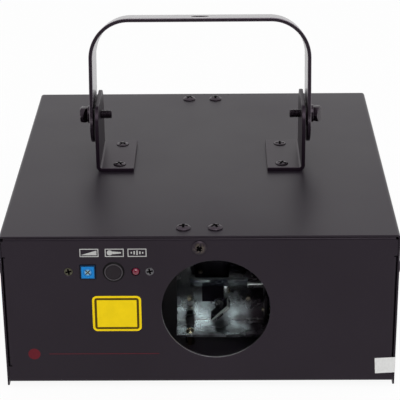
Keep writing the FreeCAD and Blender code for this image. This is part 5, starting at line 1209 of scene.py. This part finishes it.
class PROJECTOR_OT_add_screws(bpy.types.Operator):
    """Models the cross-head screws that show and sets one in each place"""
    bl_idname = "projector.add_screws"
    bl_label = "Add Screws"

    def execute(self, context):
        look = context.scene.laser_projector
        # Painted shade: a near-black finish for the cross slots' insides.
        recess = moulded("Screw recess", look.plastic.recess, 0.8, specular=0.02)
        self.cover(look.screw, recess)
        self.panel(look.screw, recess)
        self.brackets(look.screw, recess)
        self.controls(look, recess)
        return {"FINISHED"}

    def truss(self, screw, name, node, radius, reach, recess, span):
        """A wide low head over a shank, its crown at the origin, in a node's finish."""
        crown = ((0.0, 0.0), (0.3, 0.05), (0.55, 0.18), (0.78, 0.4), (0.93, 0.6), (1.0, 0.74), (0.95, 1.0))
        outline = [(across * radius, -fall * screw.proud) for across, fall in crown]
        outline += [(screw.shank, -screw.proud), (screw.shank, -reach), (0.0, -reach)]
        return cross_screw(name, outline, 2 * radius * span, 2 * radius * screw.width, screw.depth,
                           finish_of(node), recess)

    def place(self, model, node, seats, slot):
        """Sets copies of a modelled screw in place as one piece for a node."""
        copies = [seated(model, model.name + "_copy", middle, axis, turn) for middle, axis, turn in seats]
        name = model.name
        bpy.data.objects.remove(model)
        piece = joined(copies)
        piece.name = name
        piece.data.name = name
        stand_in(piece, "housing", None, node)

    def cover(self, screw, recess):
        """Truss screws on the top and the sides of the cover."""
        seats = []
        turns = (0.0, 0.5, 1.0)
        for number, (low, high) in enumerate(loose_boxes("cover_screws")):
            middle = (low + high) / 2
            turn = turns[number % len(turns)]
            if high.z > TOP:
                seats.append(((middle.x, middle.y, high.z), UP, turn))
            elif middle.x > 0:
                seats.append(((high.x, middle.y, middle.z), RIGHT, turn))
            else:
                seats.append(((low.x, middle.y, middle.z), LEFT, turn))
        sizes = sorted(high - low)
        model = self.truss(screw, "truss_screws", "cover_screws", sizes[-1] / 2, sizes[0], recess, screw.span)
        self.place(model, "cover_screws", seats, "black_screw")

    def panel(self, screw, recess):
        """The truss screw at the top of the front panel."""
        low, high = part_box("front_panel_screw")
        middle = centre("front_panel_screw")
        model = self.truss(screw, "panel_screw", "front_panel_screw", (high.x - low.x) / 2, high.y - low.y,
                           recess, screw.panel_span)
        turn = 0.6
        self.place(model, "front_panel_screw", [((middle.x, low.y, middle.z), TO_VIEWER, turn)],
                   "panel_screw_steel")

    def brackets(self, screw, recess):
        """Domed screws in the brackets' feet, with a ring of painted shade round each."""
        boxes = loose_boxes("bracket_screws")
        low, high = boxes[0]
        radius, reach, dome, rim = screw.oval, high.z - low.z, screw.dome, screw.oval * screw.gap
        outline = [(0.0, 0.0), (0.45 * radius, -0.1 * dome), (0.8 * radius, -0.4 * dome), (rim, -0.66 * dome),
                   (1.02 * rim, -0.97 * dome), (radius, -dome), (radius, -1.1 * dome),
                   (screw.shank, screw.shank - radius - 1.1 * dome), (screw.shank, -reach), (0.0, -reach)]
        # The faces beyond rim get the near-black finish, a ring of painted shade.
        model = cross_screw("oval_screws", outline, 2 * radius * screw.oval_span,
                            2 * radius * screw.oval_width, screw.depth, finish_of("bracket_screws"),
                            recess, rim)
        first_turn, turn_step = 0.5, 0.35
        seats = [(((low.x + high.x) / 2, (low.y + high.y) / 2, high.z + screw.lift), UP,
                  first_turn + turn_step * number) for number, (low, high) in enumerate(boxes)]
        self.place(model, "bracket_screws", seats, "black_screw")

    def controls(self, look, recess):
        """Two small screws, a little deep in their holes: yellow zinc on the left, nickel on the right, both
        darkened in part as painted shade of the holes.
        """
        control = look.control
        sunk, shank = control.screw_sunk, control.screw_shank
        low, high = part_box("control_board_screws")
        radius, reach = (high.z - low.z) / 2, high.y - low.y
        head = radius - sunk
        outline = [(0.0, 0.0), (0.5 * head, -0.1 * sunk), (0.85 * head, -0.4 * sunk), (head, -0.9 * sunk),
                   (shank, -sunk - head + shank), (shank, sunk - reach), (0.0, sunk - reach)]
        zinc = metal("Yellow zinc", look.metal.yellow_zinc, 0.34, scale=500.0, stretch=2.0)
        nickel = finish_of("control_board_screws")
        z = centre("control_board_screws").z
        slot_span, slot_width, turn = 1.5 * head, 0.42 * head, 0.2
        for name, x, plating in (("zinc_screw", low.x + radius, zinc),
                                 ("nickel_screw", high.x - radius, nickel)):
            model = cross_screw(name, outline, slot_span, slot_width, control.screw_slot, plating, recess)
            self.place(model, "control_board_screws", [((x, low.y + sunk / 2, z), TO_VIEWER, turn)],
                       "control_screw_steel")


class PROJECTOR_OT_add_trimmer(bpy.types.Operator):
    """Models the trimmer: a chamfered body with a round seat and a slotted rotor"""
    bl_idname = "projector.add_trimmer"
    bl_label = "Add Trimmer"

    def execute(self, context):
        control = context.scene.laser_projector.control
        low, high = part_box("sensitivity_pot")
        rotor_low, rotor_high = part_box("sensitivity_rotor")
        radius = (rotor_high.x - rotor_low.x) / 2
        depth = rotor_high.y - rotor_low.y
        face = (centre("sensitivity_rotor").x, low.y, centre("sensitivity_rotor").z)
        body = box_piece("trimmer_body", low, high)
        pick(body, "EDGE", lambda p: p.y < low.y + control.chamfer)
        bpy.ops.mesh.bevel(offset=control.chamfer, segments=3)
        done(body)
        wide = radius + control.seat_fit
        seat = turned_piece("seat", [(0.0, -depth), (wide, -depth), (wide, depth), (0.0, depth)], face,
                            TO_VIEWER)
        combine(body, seat, "DIFFERENCE")
        edge = control.rotor_edge
        model = turned_piece("rotor", [(0.0, 0.0), (radius - edge, 0.0), (radius, -edge), (radius, -depth),
                                       (0.0, -depth)], ORIGIN, UP)
        slot_span, slot_depth = 1.6 * radius, 0.6 * depth
        cross_slot(model, 0.0, slot_span, control.slot_width, slot_depth)
        rotor = seated(model, "trimmer_rotor", face, TO_VIEWER, math.pi / 4)
        bpy.data.objects.remove(model)
        pot_finish, rotor_finish = finish_of("sensitivity_pot"), finish_of("sensitivity_rotor")
        stand_in(smooth(body), "housing", pot_finish, "sensitivity_pot")
        stand_in(smooth(rotor), "sensitivity_rotor", rotor_finish, "sensitivity_rotor")
        return {"FINISHED"}


class PROJECTOR_OT_add_microphone_boot(bpy.types.Operator):
    """Models the rubber boot with a round lip about the microphone"""
    bl_idname = "projector.add_microphone_boot"
    bl_label = "Add Microphone Boot"

    def execute(self, context):
        look = context.scene.laser_projector
        low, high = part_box("microphone_boot")
        capsule_low, capsule_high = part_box("microphone")
        bore = (capsule_high.x - capsule_low.x) / 2 + look.control.boot_fit
        outer = (high.x - low.x) / 2
        lip, tail, wall = FRONT - low.y, high.y - FRONT, outer - bore
        ring = [(0.0, -tail), (0.0, 0.35), (0.03, 0.8), (0.1, 0.96), (0.19, 1.0), (0.3, 0.95), (0.5, 0.74),
                (0.75, 0.45), (0.93, 0.2), (1.0, 0.06), (1.0, 0.0), (0.45, 0.0), (0.45, -tail), (0.0, -tail)]
        outline = [(bore + across * wall, rise * lip if rise > 0 else rise) for across, rise in ring]
        boot = turned_piece("microphone_lip", outline, (MICROPHONE.x, FRONT, MICROPHONE.z), TO_VIEWER,
                            steps=64)
        smooth(boot, degrees=50)
        stand_in(boot, "housing", rubber_lip(look.plastic), "microphone_boot")
        return {"FINISHED"}


class PROJECTOR_OT_add_scanner_fittings(bpy.types.Operator):
    """Models the fittings round the first scanner that show through the window"""
    bl_idname = "projector.add_scanner_fittings"
    bl_label = "Add Scanner Fittings"

    def execute(self, context):
        fitting = context.scene.laser_projector.scanner
        axis = centre("x_mirror_holder")
        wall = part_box("x_scan_motor")[0].y
        steel = finish_of("x_mirror_holder")
        finish_piece(self.block(fitting, axis, wall), "housing", finish_of("x_scan_motor"))
        finish_piece(self.bar(fitting, axis, wall), "housing", steel)
        finish_piece(self.screws(fitting, axis, wall), "housing", finish_of("optics_screws"))
        finish_piece(self.backing(fitting, axis), "x_scanner", steel)
        finish_piece(self.cap(fitting), "housing", finish_of("feet"))
        return {"FINISHED"}

    def block(self, fitting, axis, wall):
        """A black motor block on the wall: a narrow foot bored for the mirror holder, and a wider head."""
        front = wall - fitting.block_depth
        left, right = axis.x + fitting.block_left, axis.x + fitting.block_right
        step = axis.z + fitting.block_step
        piece = box_piece("scan_motor_block", (left, front, axis.z + fitting.block_low), (right, wall, step))
        pick(piece, "FACE", lambda p: p.z > step - fitting.edge)
        extrude(0.0, 0.0, fitting.block_high - fitting.block_step)
        done(piece)
        pick(piece, "FACE", lambda p: p.x < left + fitting.edge and p.z > step)
        extrude(-fitting.step_left, 0.0, 0.0)
        done(piece)
        pick(piece, "FACE", lambda p: p.x > right - fitting.edge and p.z > step)
        extrude(fitting.step_right, 0.0, 0.0)
        done(piece)
        pick(piece, "EDGE", lambda p: p.y < front + fitting.edge)
        bpy.ops.mesh.bevel(offset=fitting.edge, segments=2)
        outward()
        done(piece)
        reach, radius = fitting.block_depth, fitting.bore
        bore = turned_piece("bore", [(0.0, -reach), (radius, -reach), (radius, 2 * reach), (0.0, 2 * reach)],
                            (axis.x, wall, axis.z), TO_VIEWER)
        return smooth(combine(piece, bore, "DIFFERENCE"))

    def bar(self, fitting, axis, wall):
        """A pale clamp bar on the right of the block."""
        left = axis.x + fitting.block_right + fitting.bar_gap
        piece = box_piece("scan_clamp_bar", (left, wall - fitting.block_depth, axis.z + fitting.bar_low),
                          (left + fitting.bar, wall, axis.z + fitting.bar_high))
        pick(piece, "EDGE", everything)
        bpy.ops.mesh.bevel(offset=fitting.edge / 2, segments=2)
        return smooth(done(piece))

    def screws(self, fitting, axis, wall):
        """A round-headed screw in the block's face and one in the bar's side."""
        dome = ((0.0, 0.9), (0.45, 0.82), (0.8, 0.55), (1.0, 0.2), (1.0, 0.0), (0.0, 0.0))
        outline = [(across * fitting.screw, rise * fitting.screw) for across, rise in dome]
        bar_side = axis.x + fitting.block_right + fitting.bar_gap + fitting.bar
        face = wall - fitting.block_depth
        seats = (((bar_side, wall - fitting.block_depth / 2, axis.z + fitting.bar_screw), RIGHT),
                 ((axis.x + fitting.block_screw_x, face, axis.z + fitting.block_screw_z), TO_VIEWER))
        pieces = [turned_piece("scan_clamp_screws", outline, middle, way) for middle, way in seats]
        return smooth(joined(pieces))

    def backing(self, fitting, axis):
        """A backing plate behind the first mirror."""
        low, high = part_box("x_mirror")
        tall = (axis.x - low.x) * math.sqrt(2)
        deselect()
        bpy.ops.mesh.primitive_cube_add(size=1.0)
        bpy.context.object.scale = (2 * tall, high.y - low.y, fitting.backing)
        piece = started("mirror_backing")
        pick(piece, "EDGE", everything)
        bpy.ops.mesh.bevel(offset=fitting.backing_edge, segments=2)
        done(piece)
        behind = -X_MIRROR_NORMAL * (MIRROR_SHEET + fitting.backing / 2)
        middle = Vector((axis.x, (low.y + high.y) / 2, axis.z)) + behind
        plate = seated(piece, "first_mirror_backing", middle, X_MIRROR_NORMAL)
        bpy.data.objects.remove(piece)
        return smooth(plate)

    def cap(self, fitting):
        """A rubber cap over the rear left screw of the bench's floor."""
        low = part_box("optics_bench")[0]
        heads = [(small + large) / 2 for small, large in loose_boxes("optics_screws")
                 if large.z < low.z + BENCH_FLOOR_REACH and small.x > low.x]
        spot = min(heads, key=lambda p: p.x - p.y)
        dome = ((0.0, 1.0), (0.5, 0.97), (0.85, 0.87), (1.0, 0.7), (1.0, 0.1), (1.12, 0.0), (0.0, 0.0))
        outline = [(across * fitting.cap, rise * fitting.cap_height) for across, rise in dome]
        cap = turned_piece("rubber_cap", outline, (spot.x, spot.y, low.z + BENCH_SHEET), UP)
        return smooth(cap, degrees=50)


class PROJECTOR_OT_add_rear_marks(bpy.types.Operator):
    """Prints plain numbers round the address dials and marks on the rocker, and fixes a plain plate"""
    bl_idname = "projector.add_rear_marks"
    bl_label = "Add Rear Marks"

    def execute(self, context):
        look = context.scene.laser_projector
        rear = look.rear
        ink, film = printed("Rear ink", look.print.white), look.print.ink
        finish_piece(self.numbers(rear, film), "housing", ink)
        rocker = centre("power_rocker")
        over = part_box("power_rocker")[1].y + MM
        for name, text, rise in (("on_mark", "I", rear.mark_rise), ("off_mark", "O", -rear.mark_rise)):
            mark = self.lettering(text, rear.mark, (rocker.x, over, rocker.z + rise), 0.0)
            mark.name = name
            finish_piece(self.laid_on(mark, "power_rocker", film), "power_rocker", ink)
        finish_piece(self.plate(rear), "housing", metal("Plain plate", look.metal.zinc, 0.4, scale=200.0))
        return {"FINISHED"}

    def numbers(self, rear, film):
        """A ring of ten numbers round each dial, and the dial's place under it."""
        marks = []
        for dial, number in (("units", "1"), ("tens", "10"), ("hundreds", "100")):
            middle = centre("address_dial_" + dial)
            under = (middle.x, REAR, middle.z - rear.place_drop)
            marks.append(self.lettering(number, rear.place_number, under, film))
            for digit in range(10):
                turn = math.tau * digit / 10
                spot = (middle.x - rear.ring * math.sin(turn), REAR, middle.z + rear.ring * math.cos(turn))
                marks.append(self.lettering(str(digit), rear.number, spot, film))
        numbers = joined(marks)
        numbers.name = "dial_numbers"
        return numbers

    def lettering(self, text, height, middle, ink):
        """One number or letter as a mesh that looks to the rear, flat if it has no ink."""
        size_per_height = 1.4
        deselect()
        bpy.ops.object.text_add(location=middle, rotation=(math.pi / 2, 0.0, math.pi))
        words = bpy.context.object.data
        words.body = text
        words.size = height * size_per_height
        words.align_x = "CENTER"
        words.align_y = "CENTER"
        words.resolution_u = 4
        words.extrude = ink
        bpy.ops.object.convert(target="MESH")
        piece = started("number_" + text)
        pick(piece, "VERT", everything)
        bpy.ops.mesh.remove_doubles(threshold=MERGE)
        bpy.ops.mesh.dissolve_degenerate(threshold=MERGE)
        return done(piece)

    def laid_on(self, mark, node, film):
        """A flat mark laid on a curved face behind it and given the thickness of ink."""
        pick(mark, "FACE", everything)
        bpy.ops.mesh.subdivide(number_cuts=2)
        done(mark)
        applied(mark, "SHRINKWRAP", target=frame["nodes"][node], wrap_method="PROJECT", use_project_y=True,
                use_negative_direction=True, use_positive_direction=False, wrap_mode="ABOVE_SURFACE",
                offset=film / 2)
        edit(mark)
        outward()
        done(mark)
        return applied(mark, "SOLIDIFY", thickness=film, offset=0.0)

    def plate(self, rear):
        """A plain plate with rounded corners."""
        piece = upright_plane("plain_plate", (rear.plate_x, REAR, rear.plate_z), rear.plate_width,
                              rear.plate_height, -math.pi / 2)
        round_corners(piece, rear.plate_corner, segments=5)
        return draw_out(piece, -rear.plate_sheet)


class PROJECTOR_OT_add_signs(bpy.types.Operator):
    """Prints three small framed signs over the sound controls"""
    bl_idname = "projector.add_signs"
    bl_label = "Add Signs"

    def execute(self, context):
        prints = context.scene.laser_projector.print
        ink = printed("White ink", prints.white)
        z = MICROPHONE.z + prints.sign_rise
        makers = ((-1, "level_sign", self.level), (0, "microphone_sign", self.microphone),
                  (1, "beat_sign", self.beat))
        for step, name, maker in makers:
            x = MICROPHONE.x + step * prints.sign_pitch + (prints.sign_shift if step == 0 else 0.0)
            border = front_frame(name, x, z, prints.sign_width, prints.sign_height, prints.line, prints.ink)
            finish_piece(joined([border] + maker(prints, x, z)), "housing", ink)
        return {"FINISHED"}

    def level(self, prints, x, z):
        """A ramp that rises to the right."""
        gap = 2.2 * prints.line
        wide = prints.sign_width - 2 * gap
        tall = prints.sign_height - 2 * gap
        ramp = front_plate("ramp", x, z, wide, tall, prints.ink)
        pick(ramp, "VERT", lambda p: p.x < x and p.z > z)
        bpy.ops.transform.translate(value=(0.0, 0.0, prints.line / 2 - tall))
        return [done(ramp)]

    def microphone(self, prints, x, z):
        """A round head with a tapered handle."""
        radius = prints.sign_height * 0.31
        head_x = x - prints.sign_width * 0.25
        head = front_disc("head", head_x, z, radius, prints.ink)
        reach = prints.sign_width * 0.46
        middle = head_x + radius + reach / 2
        thick, taper = radius * 1.1, 0.45
        handle = front_plate("handle", middle, z, reach, thick, prints.ink)
        pick(handle, "VERT", lambda p: p.x > middle)
        bpy.ops.transform.resize(value=(1.0, 1.0, taper), center_override=(head_x, FRONT, z))
        return [head, done(handle)]

    def beat(self, prints, x, z):
        """Five bars of a beat meter."""
        heights = (0.22, 0.42, 0.56, 0.34, 0.2)
        step = prints.sign_width * 0.15
        width = prints.line * 1.5
        return [front_plate("bar", x + (i - 2) * step, z, width, prints.sign_height * tall, prints.ink)
                for i, tall in enumerate(heights)]


class PROJECTOR_OT_add_red_rule(bpy.types.Operator):
    """Prints a thin red rule with a plain dot low on the front panel"""
    bl_idname = "projector.add_red_rule"
    bl_label = "Add Red Rule"

    def execute(self, context):
        prints = context.scene.laser_projector.print
        z = TRAY_LOW.z + prints.rule_rise
        middle = (prints.rule_left + prints.rule_right) / 2
        across = prints.rule_right - prints.rule_left
        rule = front_plate("red_rule", middle, z, across, prints.rule_line, prints.ink)
        dot = front_disc("red_dot", prints.dot_x, z, prints.dot, prints.ink)
        finish_piece(joined([rule, dot]), "housing", printed("Red ink", prints.red))
        return {"FINISHED"}


class PROJECTOR_OT_add_blank_label(bpy.types.Operator):
    """Sticks a blank yellow label with a printed line on the front panel"""
    bl_idname = "projector.add_blank_label"
    bl_label = "Add Blank Label"

    def execute(self, context):
        prints = context.scene.laser_projector.print
        z = TRAY_LOW.z + prints.label_rise
        label = front_plate("blank_label", prints.label_x, z, prints.label_width, prints.label_height,
                            prints.label_film, prints.label_corner)
        face = FRONT - prints.label_film
        pick(label, "FACE", lambda p: p.y < face + prints.label_film / 3)
        bpy.ops.mesh.inset(thickness=prints.label_margin)
        bpy.ops.mesh.inset(thickness=prints.label_line, use_select_inset=True)
        bpy.ops.object.mode_set(mode="OBJECT")
        line = [polygon.index for polygon in label.data.polygons if polygon.select]
        finish_piece(label, "housing", printed("Yellow label", prints.yellow))
        label.data.materials.append(printed("Label line", prints.border))
        for index in line:
            label.data.polygons[index].material_index = 1
        deselect()
        return {"FINISHED"}


class PROJECTOR_OT_add_paper_tab(bpy.types.Operator):
    """Wraps a blank paper tab round the lower right corner of the case"""
    bl_idname = "projector.add_paper_tab"
    bl_label = "Add Paper Tab"

    def execute(self, context):
        prints = context.scene.laser_projector.print
        thickness = prints.tab_paper
        left, right = prints.tab_left, COVER_HIGH.x + thickness
        front = FRONT - thickness
        low = TRAY_LOW.z + prints.tab_rise
        climb = math.tan(prints.tab_slope)
        across = right - left
        tab = drawn_line("paper_tab", [(left, front, low), (right, front, low + across * climb),
                                       (right, FRONT + prints.tab_wrap,
                                        low + (across + prints.tab_wrap) * climb)])
        pick(tab, "EDGE", everything)
        extrude(0.0, 0.0, prints.tab_height)
        done(tab)
        pick(tab, "VERT", lambda p: p.x < left + thickness and p.z > low + prints.tab_height / 2)
        bpy.ops.transform.translate(value=(-prints.tab_height * climb, 0.0, 0.0))
        outward()
        done(tab)
        sheet = thickness * 0.9
        applied(tab, "SOLIDIFY", thickness=sheet)
        finish_piece(tab, "housing", paper("Blank paper", prints.paper))
        return {"FINISHED"}


class PROJECTOR_OT_set_stage(bpy.types.Operator):
    """Sets the floor, the even light, the soft lamp and the camera"""
    bl_idname = "projector.set_stage"
    bl_label = "Set Stage"

    def execute(self, context):
        stage = context.scene.laser_projector.stage
        self.floor(stage)
        self.flag(stage)
        self.world(context.scene, stage)
        self.lamp(stage)
        self.camera(context.scene, stage)
        context.scene.view_settings.view_transform = "Standard"
        return {"FINISHED"}

    def empty_tree(self, holder):
        """The node tree of a new material or world, with nothing in it."""
        holder.use_nodes = True
        holder.node_tree.nodes.clear()
        return holder.node_tree

    def seen_rays(self, tree):
        """One for rays that show the background: from the camera, off gloss and through glass."""
        path = tree.nodes.new("ShaderNodeLightPath").outputs
        gloss = maths(tree, "MAXIMUM", path["Is Camera Ray"], path["Is Glossy Ray"])
        return maths(tree, "MAXIMUM", gloss, path["Is Transmission Ray"])

    def floor(self, stage):
        """A pale floor, clear from below so that the underside can be looked at."""
        deselect()
        bpy.ops.mesh.primitive_plane_add(size=stage.floor_size, location=ORIGIN)
        floor = started("floor")
        material = bpy.data.materials.new("Floor")
        tree = self.empty_tree(material)
        matt = add_node(tree, "ShaderNodeBsdfDiffuse", Color=solid(stage.floor)).outputs[0]
        glow = add_node(tree, "ShaderNodeEmission", Color=WHITE, Strength=1.0).outputs[0]
        seen = mixed(tree, times(tree, self.seen_rays(tree), stage.floor_glow), matt, glow)
        below = tree.nodes.new("ShaderNodeNewGeometry").outputs["Backfacing"]
        clear = tree.nodes.new("ShaderNodeBsdfTransparent").outputs[0]
        add_node(tree, "ShaderNodeOutputMaterial", Surface=mixed(tree, below, seen, clear))
        floor.data.materials.append(material)

    def flag(self, stage):
        """A dark cloth behind the camera, which the camera itself does not see."""
        flag = upright_plane("dark_flag", stage.flag, stage.flag_size, stage.flag_size / 2)
        material, tree, shader = new_finish("Dark cloth", 0.9)
        fill(tree, shader, Base_Color=solid(stage.cloth))
        flag.data.materials.append(material)
        flag.visible_camera = False

    def world(self, scene, stage):
        """Even light on the object, and plain white where the background shows."""
        scene.world = bpy.data.worlds.new("Studio")
        tree = self.empty_tree(scene.world)
        even = add_node(tree, "ShaderNodeBackground", Color=WHITE, Strength=stage.fill).outputs[0]
        white = add_node(tree, "ShaderNodeBackground", Color=WHITE, Strength=1.0).outputs[0]
        add_node(tree, "ShaderNodeOutputWorld", Surface=mixed(tree, self.seen_rays(tree), even, white))

    def lamp(self, stage):
        """A large soft lamp that looks at the middle of the case."""
        deselect()
        spot = Vector(stage.key)
        facing = (Vector((0.0, 0.0, TOP / 2)) - spot).to_track_quat("-Z", "Y").to_euler()
        bpy.ops.object.light_add(type="AREA", location=spot, rotation=facing)
        lamp = bpy.context.object
        lamp.name = "key_lamp"
        lamp.data.size = stage.key_size
        lamp.data.energy = stage.key_power

    def camera(self, scene, stage):
        """A camera at the photograph's place and angle."""
        level = Vector((math.sin(stage.yaw), math.cos(stage.yaw), 0.0))
        forward = level * math.cos(stage.pitch) - Vector((0.0, 0.0, math.sin(stage.pitch)))
        right = Vector((math.cos(stage.yaw), -math.sin(stage.yaw), 0.0))
        up = right.cross(forward)
        leaning = right * math.cos(stage.roll) + up * math.sin(stage.roll)
        upright = up * math.cos(stage.roll) - right * math.sin(stage.roll)
        turn = Matrix((leaning, upright, -forward)).transposed()
        deselect()
        bpy.ops.object.camera_add(location=stage.camera, rotation=turn.to_euler())
        camera = bpy.context.object
        camera.data.sensor_fit = "HORIZONTAL"
        camera.data.lens = stage.lens
        scene.camera = camera


class PROJECTOR_PT_looks(bpy.types.Panel):
    """Steps and settings of the projector's looks"""
    bl_idname = "PROJECTOR_PT_looks"
    bl_label = "Laser Projector"
    bl_space_type = "VIEW_3D"
    bl_region_type = "UI"
    bl_category = "Projector"

    def draw(self, context):
        for step in STEPS:
            self.layout.operator(step.bl_idname)
        look = context.scene.laser_projector
        for part in ProjectorSettings.__annotations__:
            box = self.layout.box()
            box.label(text=part.title())
            group = getattr(look, part)
            for setting in type(group).__annotations__:
                box.prop(group, setting)


STEPS = (PROJECTOR_OT_finish_parts, PROJECTOR_OT_add_yoke_bolts, PROJECTOR_OT_add_screws,
         PROJECTOR_OT_add_trimmer, PROJECTOR_OT_add_microphone_boot, PROJECTOR_OT_add_scanner_fittings,
         PROJECTOR_OT_add_rear_marks, PROJECTOR_OT_add_signs, PROJECTOR_OT_add_red_rule,
         PROJECTOR_OT_add_blank_label, PROJECTOR_OT_add_paper_tab, PROJECTOR_OT_set_stage)
SETTINGS = (PaintSettings, MetalSettings, PlasticSettings, PrintSettings, ControlSettings, ScrewSettings,
            ScannerSettings, RearSettings, BoltSettings, StageSettings, ProjectorSettings)
CLASSES = SETTINGS + STEPS + (PROJECTOR_PT_looks,)


def register():
    """Registers the settings, the steps and the panel."""
    for kind in CLASSES:
        bpy.utils.register_class(kind)
    bpy.types.Scene.laser_projector = PointerProperty(type=ProjectorSettings)


def unregister():
    """Takes the settings, the steps and the panel away again."""
    del bpy.types.Scene.laser_projector
    for kind in reversed(CLASSES):
        bpy.utils.unregister_class(kind)


def main():
    """Runs every step in turn."""
    register()
    for step in STEPS:
        family, action = step.bl_idname.split(".")
        getattr(getattr(bpy.ops, family), action)()


if __name__ == "__main__":
    main()
